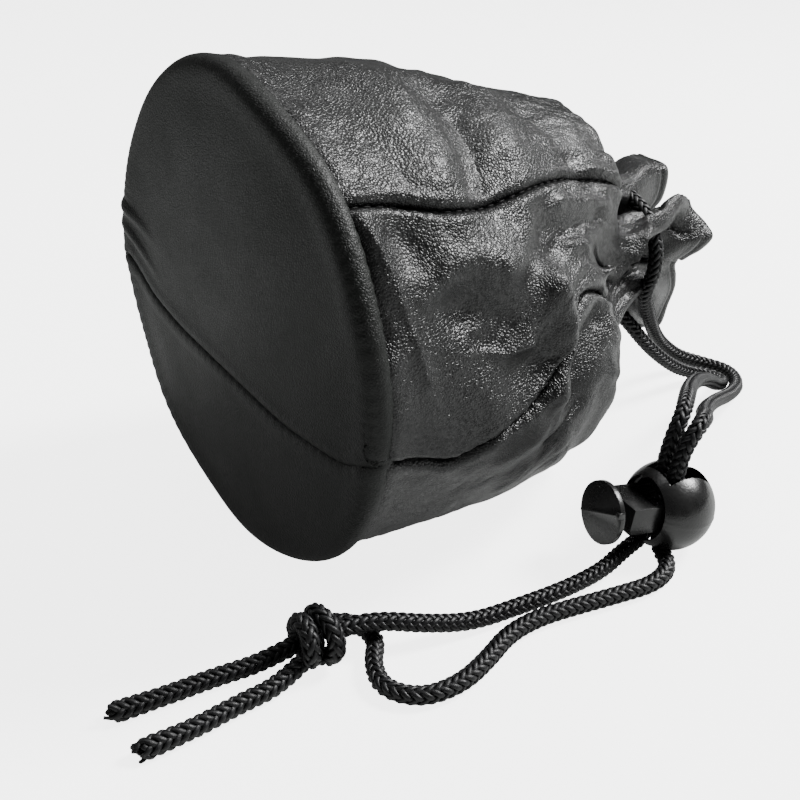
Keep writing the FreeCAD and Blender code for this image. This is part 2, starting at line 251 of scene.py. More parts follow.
# %% Braid
YARNS_EACH_WAY = 6
BRAID_LEAD = 9.6 * MM        # length of one full turn of a yarn
BRAID_RADIUS = 1.22 * MM      # middle of the braid's wall
BRAID_WAVE = 0.25 * MM        # how far a yarn moves in and out
YARN_HALF_WIDTH = 0.50 * MM
YARN_HALF_THICKNESS = 0.30 * MM
YARN_SIDES = 8
BRAID_STEP = 0.39 * MM        # spacing of the points along a yarn
STRAY_YARN = 0.35             # how far a yarn strays at a cut end, in millimetres
SHORT_YARN_STEPS = 4          # a cut yarn is up to this many points short
FRAYED_LENGTH = 3.0 * MM


def even_points(line, step):
    """Points at even spacing along a line, and their distances from its start."""
    lengths = np.linalg.norm(np.diff(line, axis=0), axis=1)
    along = np.concatenate([[0.0], np.cumsum(lengths)])
    count = max(int(round(along[-1] / step)), 4)
    stations = np.linspace(0.0, along[-1], count + 1)
    points = np.stack([np.interp(stations, along, line[:, axis]) for axis in range(3)], axis=1)
    return points, stations


def carried_frames(points):
    """Two directions square to the line at each point, turning as little as possible."""
    tangents = np.gradient(points, axis=0)
    tangents /= np.linalg.norm(tangents, axis=1)[:, None]
    first = np.cross(tangents[0], (0.0, 0.0, 1.0))
    if np.linalg.norm(first) < 0.1:
        first = np.cross(tangents[0], (1.0, 0.0, 0.0))
    first /= np.linalg.norm(first)
    normals = [first]
    for tangent in tangents[1:]:
        carried = normals[-1] - tangent * np.dot(normals[-1], tangent)
        normals.append(carried / np.linalg.norm(carried))
    normals = np.array(normals)
    return normals, np.cross(tangents, normals)


def yarn_centre(points, stations, normals, binormals, way, index, radius, wave):
    """The line of one yarn of the braid, and the direction outwards at each of its points."""
    turns = 2.0 * math.pi * (index / YARNS_EACH_WAY + way * stations / BRAID_LEAD)
    crossings = 2.0 * YARNS_EACH_WAY * stations / BRAID_LEAD
    lift = way * np.cos(math.pi / 2.0 * (2 * index + way * crossings - 0.5))
    outwards = normals * np.cos(turns)[:, None] + binormals * np.sin(turns)[:, None]
    return points + outwards * (radius + wave * lift)[:, None], outwards


def sweep_yarn(centre, outwards):
    """Vertices and faces of a flattened tube along a yarn's line, closed at both ends."""
    tangents = np.gradient(centre, axis=0)
    tangents /= np.linalg.norm(tangents, axis=1)[:, None]
    across = np.cross(tangents, outwards)
    across /= np.linalg.norm(across, axis=1)[:, None]
    up = np.cross(across, tangents)
    corners = 2.0 * math.pi * (np.arange(YARN_SIDES) + 0.5) / YARN_SIDES
    rings = (centre[:, None, :]
             + across[:, None, :] * (np.cos(corners) * YARN_HALF_WIDTH)[None, :, None]
             + up[:, None, :] * (np.sin(corners) * YARN_HALF_THICKNESS)[None, :, None])
    grid = np.arange(len(centre) * YARN_SIDES).reshape(-1, YARN_SIDES)
    a, b = grid[:-1], np.roll(grid, -1, axis=1)[:-1]
    c, d = np.roll(grid, -1, axis=1)[1:], grid[1:]
    faces = np.stack([a, b, c, d], axis=-1).reshape(-1, 4)
    return rings.reshape(-1, 3), faces, [grid[0][::-1].tolist(), grid[-1].tolist()]


def braided_cord(name, line, thickness=None, loose_end=0.0, seed=0):
    """A braid along a line. thickness scales it along its length, loose_end frays its last part."""
    points, stations = even_points(line, BRAID_STEP)
    normals, binormals = carried_frames(points)
    scale = np.ones(len(points)) if thickness is None else thickness(stations / stations[-1])
    rng = np.random.default_rng(seed)
    vertices, faces, caps, offset = [], [], [], 0
    for way in (1, -1):
        for index in range(YARNS_EACH_WAY):
            centre, outwards = yarn_centre(points, stations, normals, binormals, way, index,
                                           BRAID_RADIUS * scale, BRAID_WAVE * scale)
            keep = len(points)
            if loose_end > 0.0:
                left = np.clip((stations - stations[-1] + loose_end) / loose_end, 0.0, 1.0)
                stray = rng.normal(0.0, STRAY_YARN, 3) * MM
                centre = centre + left[:, None] ** 2 * stray
                keep -= int(rng.integers(0, SHORT_YARN_STEPS))
            ring, sides, ends = sweep_yarn(centre[:keep], outwards[:keep])
            vertices.append(ring)
            faces.append(sides + offset)
            caps += [[corner + offset for corner in end] for end in ends]
            offset += len(ring)
    cord = new_mesh_object(name, np.vstack(vertices), np.vstack(faces).tolist() + caps)
    print(name, "has", len(cord.data.polygons), "faces")
    return cord


def tail_thickness(share):
    """A cut tail swells a little before its end and is pinched where it was melted."""
    swell = 0.10 * np.clip((share - 0.75) / 0.15, 0, 1)
    pinch = 0.62 * np.clip((share - 0.93) / 0.07, 0, 1) ** 2
    return 1.0 + swell - pinch


strand_a = braided_cord("braided_strand_a", lines["strand_a"])
strand_b = braided_cord("braided_strand_b", lines["strand_b"])
tail_a = braided_cord("braided_tail_a", lines["tail_a"], tail_thickness, FRAYED_LENGTH, 3)
tail_b = braided_cord("braided_tail_b", lines["tail_b"], tail_thickness, FRAYED_LENGTH, 8)
LOOP_STEPS = 48
loop_angles = np.linspace(LOOP_END, LOOP_START + 360.0, LOOP_STEPS)
loop = braided_cord("braided_loop", np.array([loop_point(angle) for angle in loop_angles]))
for piece, node in ((strand_a, "cord_strand_a"), (strand_b, "cord_strand_b"), (tail_a, "cord_tail_a"),
                    (tail_b, "cord_tail_b"), (loop, "drawstring_loop")):
    stands_for(piece, "bag", node)

# %% [markdown]
# ## Finishes
# Every finish is built from nodes. What more than one finish needs, such as the pebbled grain of
# the leather, is a node group with named inputs, made once and placed in each material.

# %% Node helpers
def new_material(name):
    """A material with its node tree and its surface shader."""
    material = bpy.data.materials.new(name)
    material.use_nodes = True
    tree = material.node_tree
    shader = tree.nodes["Principled BSDF"]
    return material, tree, shader


def add_node(tree, kind, **settings):
    """A node with its settings, and with the values of its inputs where a name is an input's."""
    node = tree.nodes.new(kind)
    for key, value in settings.items():
        if key in node.inputs:
            node.inputs[key].default_value = value
        else:
            setattr(node, key, value)
    return node


def new_group(name, inputs, outputs):
    """An empty node group: inputs are (name, default) pairs, outputs are names of values."""
    group = bpy.data.node_groups.new(name, "ShaderNodeTree")
    for socket_name, default in inputs:
        kind = "NodeSocketVector" if default is None else "NodeSocketFloat"
        socket = group.interface.new_socket(name=socket_name, in_out="INPUT", socket_type=kind)
        if default is not None:
            socket.default_value = default
    for socket_name in outputs:
        group.interface.new_socket(name=socket_name, in_out="OUTPUT", socket_type="NodeSocketFloat")
    return group, group.nodes.new("NodeGroupInput"), group.nodes.new("NodeGroupOutput")


def place_group(tree, group, **values):
    """A node group in a material, laid out in the piece's own coordinates."""
    node = tree.nodes.new("ShaderNodeGroup")
    node.node_tree = group
    for key, value in values.items():
        node.inputs[key.replace("_", " ")].default_value = value
    coordinates = add_node(tree, "ShaderNodeTexCoord")
    tree.links.new(coordinates.outputs["Object"], node.inputs["Vector"])
    return node


def math_node(tree, operation, first, second, clamp=False):
    """One step of arithmetic on sockets or numbers."""
    node = tree.nodes.new("ShaderNodeMath")
    node.operation = operation
    node.use_clamp = clamp
    for socket, value in zip(node.inputs, (first, second)):
        if isinstance(value, bpy.types.NodeSocket):
            tree.links.new(value, socket)
        else:
            socket.default_value = value
    return node.outputs[0]


def colour_ramp(tree, factor, stops):
    """A colour that changes with a value, from (value, colour) stops."""
    ramp = tree.nodes.new("ShaderNodeValToRGB")
    while len(ramp.color_ramp.elements) < len(stops):
        ramp.color_ramp.elements.new(0.5)
    for element, (spot, colour) in zip(ramp.color_ramp.elements, stops):
        element.position = spot
        element.color = (*colour, 1.0)
    tree.links.new(factor, ramp.inputs["Fac"])
    return ramp.outputs["Color"]


def vary_surface(tree, shader, wear, wear_range, rough_range, height, bump_height, strength=1.0):
    """Lets one value drive the roughness and another a bump."""
    roughness = add_node(tree, "ShaderNodeMapRange")
    for socket, value in zip(("From Min", "From Max", "To Min", "To Max"), (*wear_range, *rough_range)):
        roughness.inputs[socket].default_value = value
    tree.links.new(wear, roughness.inputs["Value"])
    tree.links.new(roughness.outputs["Result"], shader.inputs["Roughness"])
    bump = add_node(tree, "ShaderNodeBump", Strength=strength, Distance=bump_height)
    tree.links.new(height, bump.inputs["Height"])
    tree.links.new(bump.outputs["Normal"], shader.inputs["Normal"])


print("node helpers ready")

# %% [markdown]
# Goat or sheep leather is covered in small rounded pebbles with creases between them. The pebbles
# are the cells of a Voronoi texture, bent by a little noise so that they aren't regular. Larger
# noise makes patches where the grain is stretched flat, because real skin is never even.

# %% Leather grain
WARP_SHIFT = 0.5 * MM             # how far the noise pushes the pebbles about
CREASE_SHARPNESS = 6.0
grain, grain_in, grain_out = new_group(
    "leather grain", [("Vector", None), ("Cell size", 0.0006), ("Stretch", 0.35)],
    ["Height", "Creases", "Patches"])
warp = add_node(grain, "ShaderNodeTexNoise", Scale=900.0, Detail=2.0)
warp_shift = add_node(grain, "ShaderNodeVectorMath", operation="MULTIPLY_ADD")
warp_shift.inputs[1].default_value = (WARP_SHIFT, WARP_SHIFT, WARP_SHIFT)
grain.links.new(grain_in.outputs["Vector"], warp.inputs["Vector"])
grain.links.new(warp.outputs["Color"], warp_shift.inputs[0])
grain.links.new(grain_in.outputs["Vector"], warp_shift.inputs[2])
cell_scale = math_node(grain, "DIVIDE", 1.0, grain_in.outputs["Cell size"])
pebbles = add_node(grain, "ShaderNodeTexVoronoi", feature="SMOOTH_F1", Smoothness=0.35)
grain.links.new(warp_shift.outputs[0], pebbles.inputs["Vector"])
grain.links.new(cell_scale, pebbles.inputs["Scale"])
creases = add_node(grain, "ShaderNodeTexVoronoi", feature="DISTANCE_TO_EDGE")
grain.links.new(warp_shift.outputs[0], creases.inputs["Vector"])
grain.links.new(cell_scale, creases.inputs["Scale"])
patches = add_node(grain, "ShaderNodeTexNoise", Scale=90.0, Detail=3.0)
grain.links.new(grain_in.outputs["Vector"], patches.inputs["Vector"])
crease_line = math_node(grain, "MULTIPLY", creases.outputs["Distance"], CREASE_SHARPNESS, clamp=True)
dome = math_node(grain, "SUBTRACT", 1.0, pebbles.outputs["Distance"])
flatness = math_node(grain, "MULTIPLY", patches.outputs[0], grain_in.outputs["Stretch"])
strength = math_node(grain, "SUBTRACT", 1.0, flatness)
raised = math_node(grain, "MULTIPLY", math_node(grain, "MULTIPLY", dome, crease_line), strength)
grain.links.new(raised, grain_out.inputs["Height"])
grain.links.new(crease_line, grain_out.inputs["Creases"])
grain.links.new(patches.outputs[0], grain_out.inputs["Patches"])
print("leather grain has", len(grain.nodes), "nodes")


# %% [markdown]
# The wall is glossy, tight leather and the base is duller. Both are nearly black and a little lighter
# where the grain is stretched, and shade is painted into the creases between the pebbles.

# %% Leather finishes
# painted shade: how dark the creases between the pebbles are painted, and how strongly
CREASE_PAINTED_SHADE = (0.35, 0.35, 0.35)
CREASE_SHADE_STRENGTH = 0.6


def leather_material(name, dark, light, rough_range, cell_size, bump_height, shine):
    """Leather between two colours and two roughnesses, with pebbles of one size and painted shade in their
    creases.
    """
    material, tree, shader = new_material(name)
    skin = place_group(tree, grain, Cell_size=cell_size)
    colour = colour_ramp(tree, skin.outputs["Patches"], [(0.30, dark), (0.70, light)])
    # painted shade darkens the colour in the creases between the pebbles
    crease_painted_shade = colour_ramp(tree, skin.outputs["Creases"], [(0.0, CREASE_PAINTED_SHADE), (1.0, (1, 1, 1))])
    shaded = add_node(tree, "ShaderNodeMix", data_type="RGBA", blend_type="MULTIPLY")
    shaded.inputs["Factor"].default_value = CREASE_SHADE_STRENGTH
    tree.links.new(colour, shaded.inputs["A"])
    tree.links.new(crease_painted_shade, shaded.inputs["B"])
    tree.links.new(shaded.outputs["Result"], shader.inputs["Base Color"])
    vary_surface(tree, shader, skin.outputs["Patches"], (0.0, 1.0), rough_range,
                 skin.outputs["Height"], bump_height)
    shader.inputs["Specular IOR Level"].default_value = shine
    return material


wall_leather = leather_material("wall leather", (0.002, 0.0021, 0.0021), (0.006, 0.0062, 0.0062),
                                (0.25, 0.46), 0.52 * MM, 0.12 * MM, 0.42)
base_leather = leather_material("base leather", (0.003, 0.0038, 0.003), (0.006, 0.0074, 0.006),
                                (0.42, 0.62), 0.48 * MM, 0.09 * MM, 0.26)
print("leathers:", wall_leather.name, "and", base_leather.name)

# %% [markdown]
# Moulded plastic is smooth but never perfect: it has a faint waviness, tiny scratches and a few
# dull spots. A slow and a fine noise drive its roughness and a very low bump.

# %% Plastic, thread and steel
FINE_SCALE = 9.0                  # the fine noise is this many times smaller than the spots
wear, wear_in, wear_out = new_group("surface wear", [("Vector", None), ("Spot size", 0.004)],
                                    ["Spots", "Fine"])
spot_scale = math_node(wear, "DIVIDE", 1.0, wear_in.outputs["Spot size"])
spot_noise = add_node(wear, "ShaderNodeTexNoise", Detail=4.0, Roughness=0.6)
fine_noise = add_node(wear, "ShaderNodeTexNoise", Detail=3.0)
for noise, scale, output in ((spot_noise, spot_scale, "Spots"),
                             (fine_noise, math_node(wear, "MULTIPLY", spot_scale, FINE_SCALE), "Fine")):
    wear.links.new(wear_in.outputs["Vector"], noise.inputs["Vector"])
    wear.links.new(scale, noise.inputs["Scale"])
    wear.links.new(noise.outputs[0], wear_out.inputs[output])


def worn_material(name, dark, light, rough_range, spot_size, bump_height, shine, metallic=0.0):
    """A hard material between two colours and two roughnesses, with spots of one size."""
    material, tree, shader = new_material(name)
    marks = place_group(tree, wear, Spot_size=spot_size)
    colour = colour_ramp(tree, marks.outputs["Spots"], [(0.35, dark), (0.7, light)])
    tree.links.new(colour, shader.inputs["Base Color"])
    vary_surface(tree, shader, marks.outputs["Spots"], (0.3, 0.7), rough_range,
                 marks.outputs["Fine"], bump_height)
    shader.inputs["Metallic"].default_value = metallic
    shader.inputs["Specular IOR Level"].default_value = shine
    return material


plastic = worn_material("black plastic", (0.006, 0.006, 0.006), (0.011, 0.011, 0.011),
                        (0.22, 0.36), 5.0 * MM, 0.04 * MM, 0.5)
thread_finish = worn_material("black thread", (0.002, 0.002, 0.002), (0.006, 0.006, 0.006),
                              (0.6, 0.8), 1.0 * MM, 0.05 * MM, 0.2)
steel = worn_material("spring steel", (0.35, 0.35, 0.34), (0.55, 0.55, 0.54),
                      (0.25, 0.4), 2.0 * MM, 0.01 * MM, 0.5, 1.0)
print("surface wear has", len(wear.nodes), "nodes")

# %% [markdown]
# The yarns of the cord are bundles of fine synthetic filaments. They are far too thin to model, so
# a very fine noise roughens the yarns, and a slower one makes some places a little lighter.

# %% Cord finish
cord_finish, cord_tree, cord_shader = new_material("braided cord")
cord_place = add_node(cord_tree, "ShaderNodeTexCoord")
filaments = add_node(cord_tree, "ShaderNodeTexNoise", Scale=5200.0, Detail=2.0)
shade = add_node(cord_tree, "ShaderNodeTexNoise", Scale=260.0, Detail=2.0)
for noise in (filaments, shade):
    cord_tree.links.new(cord_place.outputs["Object"], noise.inputs["Vector"])
cord_colour = colour_ramp(cord_tree, shade.outputs[0],
                          [(0.3, (0.0015, 0.0015, 0.0018)), (0.7, (0.006, 0.006, 0.007))])
cord_tree.links.new(cord_colour, cord_shader.inputs["Base Color"])
vary_surface(cord_tree, cord_shader, filaments.outputs[0], (0.0, 1.0), (0.32, 0.62),
             filaments.outputs[0], 0.06 * MM, 0.8)
cord_shader.inputs["Specular IOR Level"].default_value = 0.35
for piece in (strand_a, strand_b, tail_a, tail_b, loop):
    piece.data.materials.append(cord_finish)
print("cord finish has", len(cord_tree.nodes), "nodes")

# %% [markdown]
# ## Leather wall
# The wall is soft leather, cut as panels, sewn to a round base and drawn shut by the cord. It could
# be sculpted by hand from a cylinder, but then nothing would line up with the seams. Here the
# whole wall is first one grid of points: every column is a line on the leather from the base to the
# edge of the frill, and every row goes once round the bag. A few named sections give the bag's
# body, and values that change round the bag say where the leather turns in to the neck, how its
# pleats stand there, and where the edge of the frill ends up.

# %% Values that change round the bag
COLUMNS = 480
ROWS = 230
HEM_ROW = ROWS - 6                                # the row along which the hem is sewn
STITCH_PITCH = 2.6
ROUND = np.arange(COLUMNS) * 360.0 / COLUMNS      # angle of each column, from the top over the front
# the panels of the wall: name, angles of the first and last column
PANELS = [("top", 310.0, 410.0), ("front", 50.0, 101.0), ("lower_front", 101.0, 172.0),
          ("lower_rear", 172.0, 240.0), ("upper_rear", 240.0, 310.0)]


def round_values(table):
    """Smooth values at every column from a few given at chosen angles, joined end to end."""
    angles = np.array([row[0] for row in table], float)
    values = np.array([row[1:] for row in table], float)
    angles = np.concatenate([angles[-2:] - 360.0, angles, angles[:2] + 360.0])
    values = np.vstack([values[-2:], values, values[:2]])
    slopes = np.gradient(values, angles, axis=0)
    low = np.clip(np.searchsorted(angles, ROUND, side="right") - 1, 0, len(angles) - 2)
    span = (angles[low + 1] - angles[low])[:, None]
    part = (ROUND[:, None] - angles[low][:, None]) / span
    start, end = values[low], values[low + 1]
    blend = part * part * (3.0 - 2.0 * part)
    curve = start + (end - start) * blend
    curve += slopes[low] * span * part * (1.0 - part) ** 2
    curve -= slopes[low + 1] * span * part ** 2 * (1.0 - part)
    return curve


# sections of the body: x, centre y, centre z, half width, half height
BODY_SECTIONS = [(1.2, 0.0, 47.5, 47.2, 47.2), (18.0, 0.0, 46.2, 45.6, 46.0),
                 (35.0, 0.0, 44.5, 43.5, 44.3), (60.0, 0.0, 40.8, 37.0, 40.4),
                 (76.0, -1.0, 39.0, 31.0, 38.2), (88.0, -2.0, 39.5, 27.0, 36.0)]
# where the leather starts to turn in to the neck: angle, x
SHOULDER = round_values([(0, 70), (30, 71), (50, 69), (65, 60), (80, 54), (95, 56), (112, 63), (135, 66),
                         (165, 68), (210, 70), (270, 70), (330, 70)])[:, 0]
# the hollow between shoulder and neck: angle, x, distance from the neck's middle
THROAT = round_values([(0, 82, 22), (18, 83, 17), (33, 84, 9.5), (50, 82, 16), (64, 78, 20),
                       (80, 74, 16.5), (94, 78, 15), (108, 82, 12), (125, 83, 18), (150, 83, 16),
                       (170, 83, 19), (190, 83, 14), (215, 83, 18), (240, 83, 15), (265, 83, 18),
                       (290, 83, 15), (315, 83, 19), (340, 83, 16)])
# pleats at the neck: angle, distance from the neck's middle
NECK_PLEATS = round_values([
    (0, 16.5), (10, 16), (20, 13), (30, 8), (39, 8.5), (49, 13.5), (58, 17), (67, 17), (76, 13),
    (86, 8), (98, 7), (108, 9), (120, 12.5), (134, 13), (148, 12), (160, 8), (176, 12), (190, 8),
    (206, 12), (220, 8), (236, 12), (252, 8), (268, 12.5), (284, 8.5), (300, 13), (316, 9),
    (332, 14), (346, 15.5)])[:, 0]
# the edge of the frill: angle, x, y, z
FRILL_EDGE = round_values([
    (0, 113, 3, 57.5), (10, 112, -3.5, 57), (22, 112, -3.1, 49.5), (34, 110, -0.5, 45),
    (46, 108, -4.5, 47.5), (56, 109, -10.5, 52), (66, 111, -13, 49.5), (76, 112.5, -16.5, 46.5),
    (86, 112, -18.6, 43.8), (92, 112, -16, 40.5), (98, 112, -12.6, 37.8), (104, 113.5, -8, 34.8),
    (112, 114.2, -8, 31.5), (122, 114.4, -8, 28.2), (134, 112.6, -8, 23.9), (146, 110.5, -8, 19.2),
    (160, 109, -4, 17.5), (175, 108, -1, 17), (200, 110, 6, 20), (222, 112, 4.5, 27),
    (244, 113, 10, 31), (264, 114, 5, 36), (284, 115, 10.5, 41), (304, 115, 7, 46),
    (324, 114, 10, 51.5), (344, 114, 7, 57)])
# how far the soft rim of the base lies inside the full circle: angle, distance
RIM_INSET = round_values([
    (0, 1.8), (20, 3.0), (45, 3.2), (70, 3.0), (90, 2.8), (110, 2.5), (130, 1.5), (150, 0.4),
    (170, 0.0), (200, 0.0), (225, 1.2), (240, 0.8), (255, 0.0), (272, 0.2), (290, 2.0),
    (310, 3.0), (330, 2.3), (345, 1.6)])[:, 0]
RIM_INSET_FADE = 24.0             # distance along the wall in which the inset dies away
# how far the full lower front of the bag bulges out where it lies on the table: x, distance
SAG = [(0, 0.0), (12, 0.5), (25, 2.6), (38, 4.8), (48, 4.8), (58, 3.0), (68, 0.8), (90, 0.0)]
SAG_MIDDLE, SAG_HALF_ANGLE = 126.0, 34.0
# the two seams in front wander: x, angle
FRONT_SEAM = [(0, 48), (9, 48), (17, 51), (22, 52.5), (34, 51), (42, 48.5), (50, 46), (60, 44),
              (75, 47), (120, 50)]
LOWER_SEAM = [(0, 103), (4, 104.5), (8, 106), (14, 108.5), (18, 109), (24, 104.5), (30, 101),
              (35, 98), (39, 94.5), (42, 89), (44, 83), (48, 78), (54, 74), (75, 84), (95, 101),
              (120, 101)]
FRONT_COLUMN, LOWER_COLUMN = 50.0, 101.0         # columns that follow these two seams
REST_COLUMNS = (172.0, 310.0)                     # columns that are not moved
print("columns", COLUMNS, "rows", ROWS)

# %% [markdown]
# The grid is led by a few key points on each column: some on the body, then the turn of the
# shoulder, the throat, the pleated neck, and the edge of the frill. A smooth curve joins them, and
# neighbouring columns are then evened out a little, as leather can't bend sharply from one to the next.

# %% Grid of the wall
NECK_ROW_X = 94.5
BODY_STEPS = 7


TURN_DEPTH = 5.5                  # the shoulder has turned in this far past its start
THROAT_FLATTENING = 1.08          # the throat is a little taller than wide
TURN_SHARE = 0.1                  # how far it has come towards the throat there
FRILL_FLARE = 0.10
CURVE_STEPS = 16


def around(section_y, section_z, half_width, half_height):
    """The y and z of an upright oval at every column."""
    turn = np.radians(ROUND)
    return section_y - half_width * np.sin(turn), section_z + half_height * np.cos(turn)


def leaned(x):
    """The angle at which each column stands at x, so that the front columns follow the seams."""
    front = np.interp(x, *np.array(FRONT_SEAM, float).T) - FRONT_COLUMN
    lower = np.interp(x, *np.array(LOWER_SEAM, float).T) - LOWER_COLUMN
    anchors = [FRONT_COLUMN, LOWER_COLUMN, *REST_COLUMNS]
    shares = [np.interp(ROUND, anchors, unit, period=360.0) for unit in ((1, 0, 0, 0), (0, 1, 0, 0))]
    return ROUND + front * shares[0] + lower * shares[1]


def body_points(x):
    """The body's surface at one x for every column."""
    table = np.array(BODY_SECTIONS, float)
    values = [np.interp(x, table[:, 0], table[:, k]) for k in range(1, 5)]
    angle = leaned(x)
    turn = np.radians(angle)
    inset = RIM_INSET * np.clip(1.0 - x / RIM_INSET_FADE, 0.0, 1.0)
    y = values[0] - (values[2] - inset) * np.sin(turn)
    z = values[1] + (values[3] - inset) * np.cos(turn)
    y = y - np.interp(x, *np.array(SAG, float).T) * np.exp(-((angle - SAG_MIDDLE) / SAG_HALF_ANGLE) ** 2)
    return np.stack([x, y, z], axis=1)


def column_keys():
    """Key points of every column, from the base to the edge of the frill."""
    start = BODY_SECTIONS[0][0]
    keys = [body_points(start + (SHOULDER - start) * step / BODY_STEPS) for step in range(BODY_STEPS + 1)]
    throat_y, throat_z = around(NECK_Y, NECK_Z, THROAT[:, 1], THROAT[:, 1] * THROAT_FLATTENING)
    throat = np.stack([THROAT[:, 0], throat_y, throat_z], axis=1)
    turn = body_points(SHOULDER + TURN_DEPTH)
    turn[:, 1:] = turn[:, 1:] * (1.0 - TURN_SHARE) + throat[:, 1:] * TURN_SHARE
    neck_y, neck_z = around(NECK_Y, NECK_Z, NECK_PLEATS, NECK_PLEATS)
    neck = np.stack([np.full(COLUMNS, NECK_ROW_X), neck_y, neck_z], axis=1)
    middle = neck * 0.5 + FRILL_EDGE * 0.5
    middle[:, 1:] += (FRILL_EDGE[:, 1:] - np.array([NECK_Y, NECK_Z])) * FRILL_FLARE
    return np.stack(keys + [turn, throat, neck, middle, FRILL_EDGE])


def smooth_columns(keys):
    """A smooth curve through the key points of each column, sampled at even shares of its length."""
    ends = np.concatenate([2 * keys[:1] - keys[1:2], keys, 2 * keys[-1:] - keys[-2:-1]])
    fine = []
    for k in range(1, len(ends) - 2):
        before, start, end, after = ends[k - 1:k + 3]
        for part in np.linspace(0.0, 1.0, CURVE_STEPS, endpoint=False):
            fine.append(0.5 * (2 * start + (end - before) * part
                               + (2 * before - 5 * start + 4 * end - after) * part ** 2
                               + (3 * start - before - 3 * end + after) * part ** 3))
    fine = np.array(fine + [keys[-1]])
    lengths = np.linalg.norm(np.diff(fine, axis=0), axis=2)
    shares = np.concatenate([np.zeros((1, COLUMNS)), np.cumsum(lengths, axis=0)])
    shares /= shares[-1]
    wanted = np.linspace(0.0, 1.0, ROWS)
    grid = np.empty((ROWS, COLUMNS, 3))
    for column in range(COLUMNS):
        for axis in range(3):
            grid[:, column, axis] = np.interp(wanted, shares[:, column], fine[:, column, axis])
    return grid


def relaxed(grid, rounds, share=0.5):
    """Evens out a grid that is closed round the bag, with its first and last rows held."""
    for _ in range(rounds):
        mean = (np.roll(grid, 1, axis=1)[1:-1] + np.roll(grid, -1, axis=1)[1:-1]
                + grid[:-2] + grid[2:]) / 4.0
        grid[1:-1] += (mean - grid[1:-1]) * share
    return grid


wall = relaxed(smooth_columns(column_keys()), 6)
print("wall grid of", wall.shape[0] * wall.shape[1], "points")


# %% [markdown]
# The smooth wall now gets what makes it leather: soft hollows and sharp creases where the bag has
# been squeezed, fine lines that gather towards the neck, and a groove at every seam. Each is a bump
# or dent along the leather's own normal, described by where its line runs and how wide and high it
# is. A bump texture would do for the grain, but not for folds that change the outline.

# %% Tools for dents and creases
SOFT, SHARP = 2.0, 1.0            # shape of a fold across its line: rounded, or a sharp crease
STEP_ALONG, STEP_ROUND = 0.72, 0.57      # usual distances between rows and between columns
ACROSS = 0.72                     # millimetres along the leather for one degree round the body


def grid_normals(grid):
    """The outward direction at every point of a grid that is closed round the bag."""
    along = np.gradient(grid, axis=0)
    round_bag = np.roll(grid, -1, axis=1) - np.roll(grid, 1, axis=1)
    normals = np.cross(round_bag, along)
    normals /= np.linalg.norm(normals, axis=2)[:, :, None] + 1e-12
    return normals


def soft_noise(seed, size_along, size_round):
    """Smooth random heights, about one high, with bumps of the given sizes in millimetres."""
    rng = np.random.default_rng(seed)
    field = np.fft.rfft2(rng.normal(size=(ROWS, COLUMNS)))
    rows = np.fft.fftfreq(ROWS)[:, None] / STEP_ALONG * size_along
    columns = np.fft.rfftfreq(COLUMNS)[None, :] / STEP_ROUND * size_round
    field = np.fft.irfft2(field * np.exp(-2.0 * (rows ** 2 + columns ** 2)), s=(ROWS, COLUMNS))
    return field / field.std()


ANGLES = np.degrees(np.arctan2(NECK_Y * 0.4 - wall[..., 1], wall[..., 2] - 43.0)) % 360.0


def distance_to(points):
    """Distance from every point of the wall to a line given as (x, angle) points."""
    best = np.full(wall.shape[:2], 1e9)
    place_x, place_a = wall[..., 0], (ANGLES + 90.0) % 360.0 * ACROSS
    for (x0, a0), (x1, a1) in zip(points[:-1], points[1:]):
        start = np.array([x0, (a0 + 90.0) * ACROSS])
        along = np.array([x1, (a1 + 90.0) * ACROSS]) - start
        part = ((place_x - start[0]) * along[0] + (place_a - start[1]) * along[1]) / (along @ along)
        part = np.clip(part, 0.0, 1.0)
        gap_x = place_x - start[0] - part * along[0]
        gap_a = place_a - start[1] - part * along[1]
        best = np.minimum(best, np.hypot(gap_x, gap_a))
    return best


def ridge(gap, width, height, shape=SOFT):
    """The height of a ridge, or of a valley where height is negative, at a gap from its line."""
    return height * np.exp(-(gap / width) ** shape)


def column_crease(points, width, height, shape):
    """A ridge or valley along a line of (row, column angle) points, for folds inside the neck."""
    step_along = np.linalg.norm(np.gradient(wall, axis=0), axis=2)
    place_row = np.cumsum(step_along, axis=0)
    step_round = np.linalg.norm(np.roll(wall, -1, axis=1) - wall, axis=2).mean(axis=1)
    best = np.full(wall.shape[:2], 1e9)
    rows = np.arange(points[0][0], points[-1][0] + 1)
    angles = np.interp(rows, [p[0] for p in points], [p[1] for p in points])
    columns = np.arange(COLUMNS)
    for row, angle in zip(rows, angles):
        column = angle / 360.0 * COLUMNS
        across = ((columns - column + COLUMNS / 2) % COLUMNS - COLUMNS / 2) * step_round[row]
        along = place_row - place_row[row]
        best = np.minimum(best, np.hypot(along, across[None, :]))
    fade = np.clip(1.0 - best / 12.0, 0.0, 1.0)
    fade *= np.clip((ROWS - 1 - np.arange(ROWS)) / 16.0, 0.25, 1.0)[:, None]
    return ridge(best, width, height, shape) * fade


def seam_relief(column_angle):
    """A groove along a seam, puckered once for every stitch."""
    column = int(round(column_angle / 360.0 * COLUMNS)) % COLUMNS
    offset = (np.arange(COLUMNS) - column + COLUMNS / 2) % COLUMNS - COLUMNS / 2
    steps = np.linalg.norm(np.roll(wall, -1, axis=1) - wall, axis=2)
    gap = np.abs(offset)[None, :] * steps
    lengths = np.linalg.norm(np.diff(wall[:, column], axis=0), axis=1)
    length = np.concatenate([[0.0], np.cumsum(lengths)])
    stitch = 0.5 + 0.5 * np.cos(2.0 * math.pi * length / STITCH_PITCH)
    uneven = 0.6 + 0.4 * np.sin(length / 4.3 + column) * np.sin(length / 7.9)
    groove = ridge(gap, 0.65, -1.3) + ridge(gap - 1.8, 1.1, 0.30)
    pucker = (stitch * uneven)[:, None] * ridge(gap, 1.9, -0.30)
    return (groove + pucker) * np.clip((wall[:, column, 0] - 1.0) / 2.0, 0.3, 1.0)[:, None]


